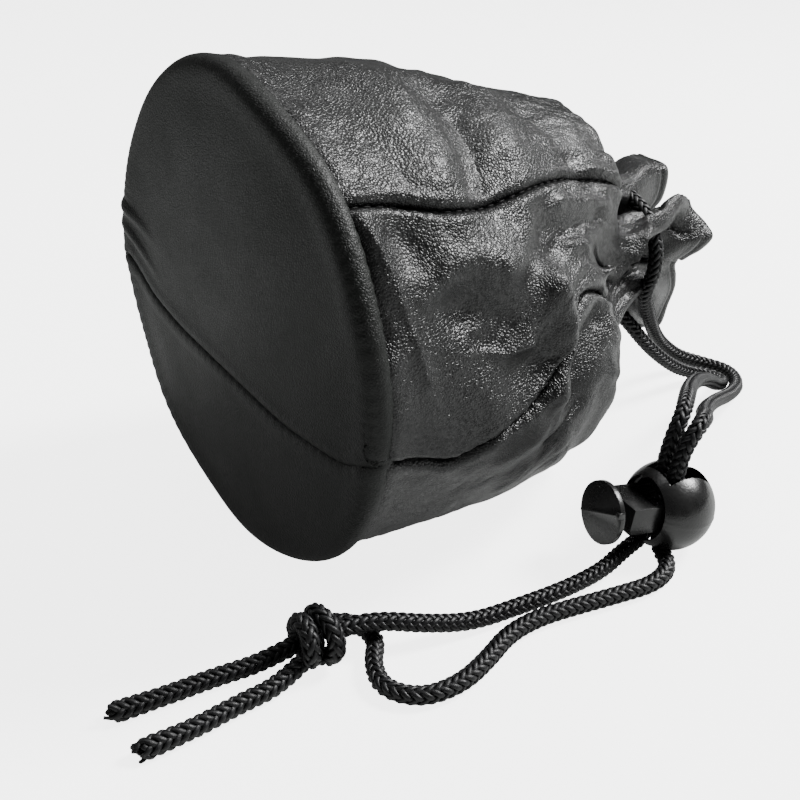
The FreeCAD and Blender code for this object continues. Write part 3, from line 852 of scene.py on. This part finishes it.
print("the wall's top line is", round(line_length(wall[:, 0])), "mm long")

# %% [markdown]
# Every fold of the body is one row of a table, so that a fold can be moved, widened or left out
# by itself. Broad soft folds come from the way the bag was squeezed, and sharp creases lie on them.

# %% Dents and creases
BODY = np.clip((84.0 - wall[..., 0]) / 8.0, 0.0, 1.0)      # 1 on the body, 0 at the neck
GATHER = np.clip((wall[..., 0] - 30.0) / 40.0, 0.0, 1.0) * np.clip((100.0 - wall[..., 0]) / 10.0, 0.0, 1.0)
# folds of the body: shape, width, height, line of (x, angle)
BODY_FOLDS = [
    # along the rim of the base
    (SOFT, 2.3, -1.5, [(1.2, 50), (1.8, 56), (2.4, 62), (2.8, 70)]),
    (SHARP, 1.6, 1.0, [(3.4, 47), (5.4, 53), (6.6, 60), (7.4, 66), (8.8, 74), (10.0, 82)]),
    (SOFT, 3.0, -0.9, [(10, 50), (13, 58), (14, 66)]),
    # top panel
    (SOFT, 6.0, -2.4, [(34, 18), (33, 26), (32, 34), (31, 42)]),
    (SOFT, 6.0, 1.3, [(20, 8), (24, 20), (26, 32), (24, 40)]),
    (SOFT, 5.0, 1.2, [(46, 14), (44, 24), (42, 34)]),
    (SHARP, 1.6, -0.9, [(36, 24), (35, 34), (33, 44)]),
    (SHARP, 1.0, -0.5, [(31, 30), (31, 38), (29, 44)]),
    (SOFT, 4.0, 0.6, [(62, 10), (66, 22), (66, 36)]),
    (SOFT, 3.0, -0.6, [(56, 20), (60, 34), (62, 44)]),
    # front panel
    (SOFT, 5.0, -3.0, [(20, 69), (27, 74), (24, 78)]),
    (SOFT, 4.0, 1.7, [(14, 62), (24, 60), (34, 64), (38, 70)]),
    (SOFT, 4.5, -2.6, [(30, 88), (36, 88), (41, 90)]),
    (SHARP, 1.4, 1.5, [(20, 79), (27, 82), (34, 82)]),
    (SOFT, 3.4, 3.2, [(41, 68), (42, 78), (42, 88), (40, 96)]),
    (SOFT, 3.4, -2.0, [(36, 66), (42, 62), (48, 62)]),
    (SOFT, 2.6, -1.8, [(44, 55), (54, 57), (64, 56)]),
    (SOFT, 2.2, 1.2, [(50, 50), (58, 50), (66, 50)]),
    # lower front panel
    (SOFT, 4.0, -3.2, [(46, 100), (50, 92), (56, 86)]),
    (SHARP, 1.2, -1.0, [(40, 112), (46, 108), (50, 106)]),
    (SOFT, 5.0, -1.0, [(16, 120), (26, 118), (38, 116)]),
    (SOFT, 5.0, 1.2, [(60, 100), (64, 112), (62, 128)]),
]
# the long ridge from the front panel into the frill, and the folds beside it: shape, width, height,
# line of (row, column angle)
FRILL_FOLDS = [
    (SHARP, 1.5, 3.4, [(120, 92), (150, 83), (165, 73), (174, 64), (187, 55.5), (207, 55.5), (229, 61)]),
    (SOFT, 4.0, -4.2, [(140, 104), (158, 96), (170, 88), (180, 78), (192, 71), (210, 72)]),
    (SHARP, 1.0, 1.9, [(160, 26), (170, 36), (180, 45), (194, 49)]),
    (SOFT, 3.0, -2.0, [(166, 10), (178, 25), (186, 33)]),
]
relief = np.zeros(wall.shape[:2])
relief += 0.45 * soft_noise(1, 30.0, 26.0) * BODY
relief += 0.14 * soft_noise(2, 9.0, 7.0) * BODY
relief += 0.12 * np.abs(soft_noise(3, 6.0, 4.5)) * BODY
relief += 0.22 * soft_noise(4, 26.0, 3.0) * GATHER
relief += ridge(wall[..., 0], 1.6, -1.9) + ridge(wall[..., 0] - 4.0, 2.0, 0.5)      # the groove at the rim
for shape, width, height, line in BODY_FOLDS:
    relief += ridge(distance_to(line), width, height, shape)
for shape, width, height, line in FRILL_FOLDS:
    relief += column_crease(line, width, height, shape)
print(len(BODY_FOLDS), "folds on the body,", len(FRILL_FOLDS), "at the frill")

# %% [markdown]
# Last come the grooves of the hem and of the seams, and the wall is moved by the sum of it all. It
# lies on the table, so nothing may go below that.

# %% Seams of the wall
hem_gap = np.abs(np.arange(ROWS) - HEM_ROW)[:, None] * np.ones((1, COLUMNS))
relief += ridge(hem_gap, 1.0, -0.45) + ridge(hem_gap - 3.0, 1.6, 0.25)
for _, start, _ in PANELS:
    relief += seam_relief(start)
wall = wall + grid_normals(wall) * relief[..., None]
wall[..., 2] = np.maximum(wall[..., 2], 0.0)
spans = wall.reshape(-1, 3)
print("wall grid spans", np.round(spans.min(0), 1), np.round(spans.max(0), 1))

# %% [markdown]
# The wall is now cut into its panels between the columns of the seams. Leather has two faces and a
# cut edge, so each panel is thickened inwards.

# %% Wall panels
LEATHER_THICKNESS = 1.0


def sheet_mesh(name, strip):
    """A mesh object from a grid of points in millimetres from the base plane."""
    rows, width = strip.shape[:2]
    points = strip.reshape(-1, 3).copy()
    points[:, 0] += BASE_X
    index = np.arange(rows * width).reshape(rows, width)
    faces = np.stack([index[:-1, :-1], index[:-1, 1:], index[1:, 1:], index[1:, :-1]], axis=-1)
    return new_mesh_object(name, points * MM, faces.reshape(-1, 4).tolist())


def finish_leather(piece, node, material):
    """Gives a sheet its thickness and its leather, and puts it in place of its measured piece."""
    only(piece)
    solid = piece.modifiers.new("thickness", "SOLIDIFY")
    solid.thickness = LEATHER_THICKNESS * MM
    solid.offset = -1.0
    bpy.ops.object.modifier_apply(modifier=solid.name)
    stands_for(piece, "bag", node)
    piece.data.materials.append(material)
    print(piece.name, "has", len(piece.data.polygons), "faces")
    return piece


for panel, start, end in PANELS:
    first, last = (int(round(angle / 360.0 * COLUMNS)) for angle in (start, end))
    columns = [column % COLUMNS for column in range(first, last + 1)]
    leather = sheet_mesh(panel + "_leather", wall[:, columns])
    finish_leather(leather, panel + "_wall_panel", wall_leather)

# %% [markdown]
# ## Base
# The round base is sewn from a large and a small piece along a seam that bows down in the middle.
# Both pieces roll over at the rim, where they are turned in and sewn to the wall. Each piece is a
# sheet of points that runs from the seam out to the rim and then round the roll.

# %% Base pieces
# the seam across the base: y, z
BASE_SEAM = [(45.0, 46.5), (35.6, 40.9), (22.0, 38.0), (7.4, 36.2), (-17.8, 33.1), (-37.0, 33.8),
             (-44.2, 37.4)]
ROLL_RADIUS, ROLL_ANGLE = 1.5, math.radians(215.0)
FLAT_RADIUS = BASE_RADIUS - ROLL_RADIUS
SEAM_END_LEFT, SEAM_END_RIGHT = -91.5, 102.0      # angles on the rim
SEAM_POINTS = 200


def seam_across(count):
    """Points of the seam across the base, even in y, as y and z."""
    table = np.array(BASE_SEAM[::-1], float)
    y = np.linspace(BASE_SEAM[0][0], BASE_SEAM[-1][0], count)
    z = np.interp(y, table[:, 0], table[:, 1])
    for _ in range(30):
        z[1:-1] = (z[:-2] + z[2:]) / 2.0
    return np.stack([y, z], axis=1)


def rim_inset(turn):
    """How far the rim lies inside the full circle at angles given in radians."""
    return np.interp(np.degrees(turn), ROUND, RIM_INSET, period=360.0)


def base_sheet(rim_angles, rows=110, roll_rows=16, count=300):
    """The outer face of one piece of the base, from the seam out to the rim and round its roll."""
    seam = seam_across(count)
    turn = np.radians(np.linspace(*rim_angles, count))
    outward = np.stack([-np.sin(turn), np.cos(turn)], axis=1)
    reach = (FLAT_RADIUS - rim_inset(turn))[:, None]
    rim = outward * reach + np.array([0.0, BASE_RADIUS])
    sheet = []
    for share in np.linspace(0.0, 1.0, rows):
        flat = seam * (1.0 - share) + rim * share
        sheet.append(np.column_stack([np.zeros(count), flat]))
    for share in np.linspace(0.0, 1.0, roll_rows + 1)[1:]:
        angle = share * ROLL_ANGLE
        out = outward * (reach + ROLL_RADIUS * math.sin(angle)) + np.array([0.0, BASE_RADIUS])
        sheet.append(np.column_stack([np.full(count, ROLL_RADIUS * (1.0 - math.cos(angle))), out]))
    return np.array(sheet)


def base_relief(sheet):
    """How far each point of the base stands out towards the viewer of its face."""
    y, z = sheet[..., 1], sheet[..., 2]
    up = z - BASE_RADIUS
    from_rim = BASE_RADIUS - rim_inset(np.arctan2(-y, up)) - np.hypot(y, up)
    seam = seam_across(SEAM_POINTS)
    gap = np.min(np.hypot(y[..., None] - seam[:, 0], z[..., None] - seam[:, 1]), axis=-1)
    stitch = 0.5 + 0.5 * np.cos(2.0 * math.pi * y / STITCH_PITCH)
    height = ridge(gap, 0.55, -0.8) + ridge(gap - 1.8, 1.4, 0.22)
    height += stitch * ridge(gap, 1.8, -0.07)
    height += ridge(from_rim - 2.0, 2.4, 0.25)
    height += 1.2 * np.cos(y / 31.0 + 0.4) * np.cos(up / 34.0 - 0.3)
    height += np.sin(y / 7.0 + up / 11.0) * ridge(from_rim, 14.0, 0.35)
    around_rim = np.degrees(np.arctan2(-y, up))
    strength = np.clip(np.sin(np.radians(around_rim * 2.0 - 60.0)) + 0.3, 0.0, 1.0)
    pucker = np.sin(around_rim * 1.9 + 3.0 * np.sin(around_rim / 9.0) + 2.0 * np.sin(around_rim / 3.7))
    height += strength * pucker * ridge(from_rim, 3.0, 0.09)
    left_folds = ridge(y - 41.0, 7.0, 1.0)
    height += left_folds * ridge(up - 9.0 - (y - 41.0) * 0.3, 1.3, 0.7)
    height += left_folds * ridge(up - 3.5 - (y - 41.0) * 0.5, 1.2, 0.6)
    return height


for name, angles in (("large", (SEAM_END_LEFT, SEAM_END_RIGHT)),
                     ("small", (SEAM_END_LEFT + 360.0, SEAM_END_RIGHT))):
    sheet = base_sheet(angles)
    sheet[..., 0] -= base_relief(sheet)
    sheet[..., 2] = np.maximum(sheet[..., 2], 0.0)
    if name == "large":
        sheet = sheet[:, ::-1]            # both pieces then face outwards
    leather = sheet_mesh("base_" + name + "_leather", sheet)
    only(leather)
    bpy.ops.object.mode_set(mode="EDIT")
    bpy.ops.mesh.select_all(action="SELECT")
    bpy.ops.mesh.remove_doubles(threshold=0.02 * MM)
    bpy.ops.object.mode_set(mode="OBJECT")
    finish_leather(leather, "base_panel_" + name, base_leather)

# %% [markdown]
# ## Sewing
# The thread shows as short stitches lying in the grooves. One stitch is modelled from a small
# cylinder with rounded ends, then copied along every seam, turned to follow it.

# %% One stitch
STITCH_LENGTH = 1.6
THREAD_RADIUS = 0.20
bpy.ops.object.select_all(action="DESELECT")
bpy.ops.mesh.primitive_cylinder_add(vertices=8, radius=THREAD_RADIUS, depth=STITCH_LENGTH)
bpy.ops.object.mode_set(mode="EDIT")
bpy.ops.mesh.select_all(action="SELECT")
bpy.ops.mesh.bevel(offset=THREAD_RADIUS * 0.45, segments=1)
bpy.ops.object.mode_set(mode="OBJECT")
one_stitch = bpy.context.object
stitch_points = np.array([v.co for v in one_stitch.data.vertices])
stitch_faces = [list(p.vertices) for p in one_stitch.data.polygons]
bpy.data.objects.remove(one_stitch)


def stitches(name, line, node, lift=0.0):
    """Stitches along a line of points in millimetres from the base plane, each raised by its lift."""
    lengths = np.concatenate([[0.0], np.cumsum(np.linalg.norm(np.diff(line, axis=0), axis=1))])
    lifts = np.zeros_like(line) + lift
    spots = np.arange(STITCH_PITCH / 2, lengths[-1] - STITCH_LENGTH / 2, STITCH_PITCH)
    vertices, faces = [], []
    for spot in spots:
        ends = [np.array([np.interp(spot + half, lengths, line[:, k]) for k in range(3)])
                for half in (-STITCH_LENGTH / 2, STITCH_LENGTH / 2)]
        raised = np.array([np.interp(spot, lengths, lifts[:, k]) for k in range(3)])
        turn = Vector(ends[1] - ends[0]).to_track_quat("Z", "X").to_matrix()
        first = len(vertices) * len(stitch_points)
        faces += [[corner + first for corner in face] for face in stitch_faces]
        vertices.append(stitch_points @ np.array(turn).T + (ends[0] + ends[1]) / 2.0 + raised)
    points = np.vstack(vertices)
    points[:, 0] += BASE_X
    thread_run = new_mesh_object(name, points * MM, faces)
    thread_run.data.materials.append(thread_finish)
    stands_for(thread_run, "bag", node)
    print(name, len(spots), "stitches")
    return thread_run


# %% [markdown]
# The runs follow the seams' own lines: the columns and the row of the wall grid where it was cut
# and hemmed, the seam across the base, and the groove behind its rim.

# %% Runs of stitches
SEAM_LIFT = 0.05                  # the thread lies this far above the leather
RIM_GROOVE_X, RIM_GROOVE_DEPTH = 3.3, 1.9
RIM_POINTS = 241
normals = grid_normals(wall)
sewing = {}
for panel, start, _ in PANELS:
    column = int(round(start / 360.0 * COLUMNS)) % COLUMNS
    sewing[panel] = [stitches(panel + "_stitches", wall[3:HEM_ROW, column], panel + "_seam_thread",
                              normals[3:HEM_ROW, column] * SEAM_LIFT)]
hem = np.vstack([wall[HEM_ROW], wall[HEM_ROW][:1]])
sewing["top"].append(stitches("hem_stitches", hem, "hem_thread"))
seam_line = np.column_stack([np.zeros(SEAM_POINTS), seam_across(SEAM_POINTS)])
seam_line[:, 0] -= base_relief(seam_line[None])[0]
sewing["base_large"] = [stitches("base_seam_stitches", seam_line, "base_seam_thread",
                                 np.array([-SEAM_LIFT, 0.0, 0.0]))]
turn = np.linspace(0.0, 2.0 * math.pi, RIM_POINTS)
reach = BASE_RADIUS - RIM_GROOVE_DEPTH - rim_inset(turn)
groove = np.column_stack([np.full(RIM_POINTS, RIM_GROOVE_X), -reach * np.sin(turn),
                          BASE_RADIUS + reach * np.cos(turn)])
sewing["base_small"] = [stitches("base_rim_stitches", groove, "base_rim_thread")]

# %% [markdown]
# ## Knot
# Both strands end in one overhand knot, pulled tight. Tied for real in a simulation it would take
# long and end up anywhere, so its turns are one line led by listed points, and the same braid
# is laid along it. The ends of the strands and the tails run into it.

# %% Knot
KNOT_CENTRE = (-11.8, -41.6, 5.9)
KNOT_TURNS = [(3.6, 1.2, -0.8), (2.6, 3.0, -1.6), (1.9, 4.0, 0.8), (1.5, 1.9, 3.9), (1.9, -2.0, 3.5),
              (2.0, -4.2, 0.7), (1.6, -3.6, -2.8), (0.4, 0.0, -4.0), (-1.0, 3.2, -2.6),
              (-1.5, 3.9, 0.6), (-1.7, 1.6, 3.7), (-2.0, -1.8, 3.2), (-2.8, -3.4, 0.5),
              (-2.2, -2.4, -2.8), (0.0, -0.4, -1.6), (0.2, 0.6, 0.8), (-1.0, 0.0, -0.6)]
knot_points = [place(*(centre + offset for centre, offset in zip(KNOT_CENTRE, turn))) for turn in KNOT_TURNS]
knot = braided_cord("braided_knot", curve_line("route_knot", knot_points))
knot.data.materials.append(cord_finish)
stands_for(knot, "bag", "cord_knot")

# %% [markdown]
# ## Cord lock
# The lock is a moulded ball with a hole through it for the cord and a cavity for a sprung button.
# It is modelled in its own frame, with the button along X and the hole along Z: a sphere whose
# middle ring is raised for the mould's parting line, less cutters for the cavity, the entry and
# the hole. Its edges are rounded with a bevel, and then it is turned to where it lies.

# %% Lock helpers
LOCK_RADIUS = 9.0 * MM
SHARP_ANGLE = math.radians(40.0)
lock_frame = Matrix([(t, w, s, c) for t, w, s, c in zip(LOCK_T, LOCK_W, LOCK_S, LOCK_CENTRE)]
                    + [(0.0, 0.0, 0.0, 1.0)])


def pick(piece, part, wanted):
    """In edit mode, selects just those vertices, edges or faces for which wanted is true."""
    bpy.ops.mesh.select_all(action="DESELECT")
    mesh = bmesh.from_edit_mesh(piece.data)
    for item in getattr(mesh, part):
        item.select_set(wanted(item))
    bmesh.update_edit_mesh(piece.data)


def runs_along_z(edge):
    """Whether an edge runs up the slot for the cord."""
    along = edge.verts[0].co - edge.verts[1].co
    return abs(along.z) > 0.9 * along.length


def faces_button(face):
    """Whether a face looks along X, to where the button is."""
    return face.normal.x > 0.9


def rod(radius, start, end, vertices=64):
    """A cylinder along X between two places."""
    bpy.ops.object.select_all(action="DESELECT")
    bpy.ops.mesh.primitive_cylinder_add(vertices=vertices, radius=radius, depth=end - start,
                                        location=((start + end) / 2, 0.0, 0.0),
                                        rotation=(0.0, math.pi / 2, 0.0))
    bpy.ops.object.transform_apply()
    return bpy.context.object


def rounded_box(low, high, radius=0.0, segments=5):
    """A box between two corners, whose edges along Z are rounded."""
    bpy.ops.object.select_all(action="DESELECT")
    bpy.ops.mesh.primitive_cube_add(size=1.0)
    box = bpy.context.object
    box.scale = [b - a for a, b in zip(low, high)]
    box.location = [(a + b) / 2 for a, b in zip(low, high)]
    bpy.ops.object.transform_apply()
    if radius > 0.0:
        bpy.ops.object.mode_set(mode="EDIT")
        pick(box, "edges", runs_along_z)
        bpy.ops.mesh.bevel(offset=radius, segments=segments)
        bpy.ops.object.mode_set(mode="OBJECT")
    return box


def combine(piece, other, operation):
    """Cuts or joins one piece with another, which is used up."""
    only(piece)
    step = piece.modifiers.new("combine", "BOOLEAN")
    step.operation = operation
    step.solver = "EXACT"
    step.object = other
    bpy.ops.object.modifier_apply(modifier=step.name)
    bpy.data.objects.remove(other)


def soften(piece, width):
    """Rounds the sharp edges a little and shades the rest smooth."""
    only(piece)
    bevel = piece.modifiers.new("soft edges", "BEVEL")
    bevel.width = width
    bevel.segments = 2
    bevel.limit_method = "ANGLE"
    bevel.angle_limit = SHARP_ANGLE
    bpy.ops.object.modifier_apply(modifier=bevel.name)
    bpy.ops.object.shade_smooth_by_angle(angle=SHARP_ANGLE)


def put_in_place(piece, name, body, node, material):
    """Turns a finished piece of the lock from the lock's own frame to where it lies."""
    piece.name = name
    piece.data.name = name
    piece.matrix_world = lock_frame @ piece.matrix_world
    only(piece)
    bpy.ops.object.transform_apply()
    piece.data.materials.clear()
    piece.data.materials.append(material)
    stands_for(piece, body, node)
    print(name, "has", len(piece.data.polygons), "faces")


print("the lock lies at", [round(value / MM, 1) for value in LOCK_CENTRE], "mm")

# %% [markdown]
# The ball is cut in the order in which its mould would shape it: the cavity for the button with its
# wider entry, then the slot for the two strands, and a small hole at the back. A nub shows where
# the plastic was let in.

# %% Ball of the lock
CAVITY_RADIUS, CAVITY_BACK = 5.75 * MM, -5.1 * MM
ENTRY_RADIUS, ENTRY_START = 6.45 * MM, 4.6 * MM
BORE_BACK, BORE_FRONT, BORE_HALF_WIDTH, BORE_ROUNDING = -5.5 * MM, 4.6 * MM, 3.9 * MM, 2.2 * MM
REAR_HOLE_RADIUS, REAR_HOLE_START = 3.0 * MM, -7.0 * MM
NUB_LOW = (-9.7 * MM, -0.4 * MM, -0.35 * MM)
NUB_HIGH = (-8.6 * MM, 0.4 * MM, 0.35 * MM)
PARTING_RAISE = 1.010
NEARLY_ZERO = 0.01 * MM
past = LOCK_RADIUS * 1.2
bpy.ops.object.select_all(action="DESELECT")
bpy.ops.mesh.primitive_uv_sphere_add(segments=96, ring_count=64, radius=LOCK_RADIUS)
ball = bpy.context.object
bpy.ops.object.mode_set(mode="EDIT")
pick(ball, "verts", lambda vertex: abs(vertex.co.z) < NEARLY_ZERO)
bpy.ops.transform.resize(value=(PARTING_RAISE, PARTING_RAISE, 1.0))
bpy.ops.object.mode_set(mode="OBJECT")
combine(ball, rounded_box(NUB_LOW, NUB_HIGH, 0.15 * MM, 2), "UNION")
combine(ball, rod(CAVITY_RADIUS, CAVITY_BACK, past), "DIFFERENCE")
combine(ball, rod(ENTRY_RADIUS, ENTRY_START, past), "DIFFERENCE")
slot_low = (BORE_BACK, -BORE_HALF_WIDTH, -past)
slot_high = (BORE_FRONT, BORE_HALF_WIDTH, past)
combine(ball, rounded_box(slot_low, slot_high, BORE_ROUNDING), "DIFFERENCE")
combine(ball, rod(REAR_HOLE_RADIUS, REAR_HOLE_START, 0.0, 32), "DIFFERENCE")
soften(ball, 0.28 * MM)
put_in_place(ball, "lock_ball", "cord_lock", "lock_body", plastic)

# %% [markdown]
# The button is a flat disc on a wide, flat stem that widens towards it. The disc's two halves meet
# in a low ridge with a small nub at its end, where the mould closed. Inside the ball the stem is a
# frame: the two strands run through its window, and the spring pushes the frame against them.

# %% Button and stem
BUTTON_RADIUS, BUTTON_BACK, BUTTON_FACE = 6.2 * MM, 15.6 * MM, 16.6 * MM
RIDGE_HEIGHT = 0.45 * MM
RIDGE_TILT = math.radians(24.0)
INSET_WIDTH = 0.35 * MM
STEM_LOW, STEM_HIGH = (-1.3 * MM, -4.85 * MM, -2.7 * MM), (12.6 * MM, 4.85 * MM, 2.7 * MM)
FLARE_STEPS, FLARE_LENGTH = 4, 3.1 * MM
FLARE_WIDER, FLARE_TALLER = 0.02, 0.05
WINDOW_LOW, WINDOW_HIGH = (0.2 * MM, -3.75 * MM, -5.0 * MM), (7.3 * MM, 3.75 * MM, 5.0 * MM)
END_NUB_LOW, END_NUB_HIGH = (16.0 * MM, -0.5 * MM, -0.5 * MM), (17.3 * MM, 0.5 * MM, 0.5 * MM)
button = rod(BUTTON_RADIUS, BUTTON_BACK, BUTTON_FACE, 72)
bpy.ops.object.mode_set(mode="EDIT")
pick(button, "faces", faces_button)
bpy.ops.mesh.inset(thickness=INSET_WIDTH)
across_ridge = (0.0, -math.sin(RIDGE_TILT), math.cos(RIDGE_TILT))
bpy.ops.mesh.bisect(plane_co=(0.0, 0.0, 0.0), plane_no=across_ridge)
mesh = bmesh.from_edit_mesh(button.data)
for vertex in mesh.verts:
    off_ridge = abs(across_ridge[1] * vertex.co.y + across_ridge[2] * vertex.co.z)
    inside = math.hypot(vertex.co.y, vertex.co.z) < BUTTON_RADIUS - 0.2 * MM
    vertex.select_set(off_ridge < NEARLY_ZERO and vertex.co.x > BUTTON_FACE - NEARLY_ZERO and inside)
mesh.select_flush_mode()
bmesh.update_edit_mesh(button.data)
bpy.ops.transform.translate(value=(RIDGE_HEIGHT, 0.0, 0.0))
bpy.ops.object.mode_set(mode="OBJECT")
stem = rounded_box(STEM_LOW, STEM_HIGH)
bpy.ops.object.mode_set(mode="EDIT")
pick(stem, "faces", faces_button)
flare_step = {"value": (FLARE_LENGTH / FLARE_STEPS, 0.0, 0.0)}
for step in range(1, FLARE_STEPS + 1):
    bpy.ops.mesh.extrude_region_move(TRANSFORM_OT_translate=flare_step)
    bpy.ops.transform.resize(value=(1.0, 1.0 + FLARE_WIDER * step, 1.0 + FLARE_TALLER * step))
bpy.ops.object.mode_set(mode="OBJECT")
combine(stem, rounded_box(WINDOW_LOW, WINDOW_HIGH, 0.6 * MM, 3), "DIFFERENCE")
combine(button, stem, "UNION")
end_nub = rounded_box(END_NUB_LOW, END_NUB_HIGH, 0.2 * MM, 2)
end_nub.location = Vector((0.0, math.cos(RIDGE_TILT), math.sin(RIDGE_TILT))) * (BUTTON_RADIUS * 0.97)
combine(button, end_nub, "UNION")
soften(button, 0.16 * MM)
put_in_place(button, "lock_button", "button", "lock_plunger", plastic)

# %% [markdown]
# The spring pushes the button out. A small circle is wound along an axis by a screw modifier, as
# long as the room that the button leaves it.

# %% Spring
SPRING_START, SPRING_END, SPRING_TURNS = -6.73 * MM, -1.59 * MM, 3.5
SPRING_RADIUS, WIRE_RADIUS = 2.3 * MM, 0.22 * MM
STEPS_PER_TURN = 24
bpy.ops.object.select_all(action="DESELECT")
bpy.ops.mesh.primitive_circle_add(vertices=8, radius=WIRE_RADIUS, location=(SPRING_RADIUS, 0.0, 0.0),
                                  rotation=(math.pi / 2, 0.0, 0.0))
bpy.ops.object.transform_apply()
spring = bpy.context.object
screw = spring.modifiers.new("winding", "SCREW")
screw.angle = 2.0 * math.pi * SPRING_TURNS
screw.screw_offset = SPRING_END - SPRING_START
screw.steps = int(STEPS_PER_TURN * SPRING_TURNS)
screw.render_steps = screw.steps
only(spring)
bpy.ops.object.modifier_apply(modifier=screw.name)
spring.rotation_euler = (0.0, math.pi / 2, 0.0)
spring.location = (SPRING_START, 0.0, 0.0)
bpy.ops.object.transform_apply()
bpy.ops.object.mode_set(mode="EDIT")
bpy.ops.mesh.select_all(action="SELECT")
bpy.ops.mesh.remove_doubles(threshold=0.001 * MM)
bpy.ops.mesh.select_all(action="DESELECT")
bpy.ops.mesh.select_non_manifold()
bpy.ops.mesh.edge_face_add()
bpy.ops.mesh.select_all(action="SELECT")
bpy.ops.mesh.normals_make_consistent(inside=False)
bpy.ops.object.mode_set(mode="OBJECT")
bpy.ops.object.shade_smooth_by_angle(angle=math.radians(50.0))
put_in_place(spring, "lock_coil", "cord_lock", "lock_spring", steel)
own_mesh(spring)


# %% [markdown]
# ## Stage
# The bag lies on white paper that runs on for ever: the floor and the world are bright when they are
# seen, but give the bag only a little light, so its leather stays black. One lamp beside it draws
# the highlights and a weaker one above fills them in.

# %% Stage
FLOOR_SIZE = 4.0
PAPER_COLOUR, PAPER_ROUGHNESS = (0.50, 0.51, 0.50, 1.0), 0.85
PAPER_GLOW, WORLD_GLOW, SEEN_GLOW = 0.18, 0.16, 4.0      # light on the bag, and brightness in view
WHITE = (1.0, 1.0, 1.0, 1.0)


def brighter_when_seen(tree, glow, socket):
    """Drives a strength: full where the light path comes straight from the viewer, low elsewhere."""
    seen = add_node(tree, "ShaderNodeLightPath")
    strength = add_node(tree, "ShaderNodeMapRange")
    strength.inputs["To Min"].default_value = glow
    strength.inputs["To Max"].default_value = SEEN_GLOW
    tree.links.new(seen.outputs["Is Camera Ray"], strength.inputs["Value"])
    tree.links.new(strength.outputs["Result"], socket)


bpy.ops.mesh.primitive_plane_add(size=FLOOR_SIZE, location=(0.0, 0.0, 0.0))
floor = bpy.context.object
floor.name = "floor"
paper, paper_tree, paper_shader = new_material("white paper")
paper_shader.inputs["Base Color"].default_value = PAPER_COLOUR
paper_shader.inputs["Roughness"].default_value = PAPER_ROUGHNESS
paper_shader.inputs["Emission Color"].default_value = WHITE
brighter_when_seen(paper_tree, PAPER_GLOW, paper_shader.inputs["Emission Strength"])
floor.data.materials.append(paper)
world = bpy.data.worlds.new("studio")
bpy.context.scene.world = world
world.use_nodes = True
background = world.node_tree.nodes["Background"]
background.inputs["Color"].default_value = WHITE
brighter_when_seen(world.node_tree, WORLD_GLOW, background.inputs["Strength"])


def soft_light(name, spot, size, power):
    """A square light that points at the middle of the bag."""
    data = bpy.data.lights.new(name, "AREA")
    data.size = size
    data.energy = power
    lamp = bpy.data.objects.new(name, data)
    bpy.context.scene.collection.objects.link(lamp)
    lamp.location = spot
    aim = Vector((0.0, 0.0, 0.04)) - Vector(spot)
    lamp.rotation_euler = aim.to_track_quat("-Z", "Y").to_euler()
    print(name, "of", power, "W")


soft_light("key light", (0.50, -0.20, 0.60), 0.24, 18.0)
soft_light("top light", (0.05, 0.35, 0.80), 0.50, 3.0)

# %% [markdown]
# ## Sizes of what is soft
# A sheet of leather could lie in many ways, but the flat size that it was cut to stays true. Here
# that size is worked out for the base pieces, which are parts of a disc with a turned-in rim.

# %% Sizes
TURN_IN = 5.6
SEAM_BELOW_CENTRE = 11.5
seam_half_angle = math.acos(SEAM_BELOW_CENTRE / BASE_RADIUS)
small_area = BASE_RADIUS ** 2 * seam_half_angle
small_area -= SEAM_BELOW_CENTRE * BASE_RADIUS * math.sin(seam_half_angle)
large_area = math.pi * BASE_RADIUS ** 2 - small_area
small_area += TURN_IN * 2.0 * seam_half_angle * BASE_RADIUS
large_area += TURN_IN * 2.0 * (math.pi - seam_half_angle) * BASE_RADIUS
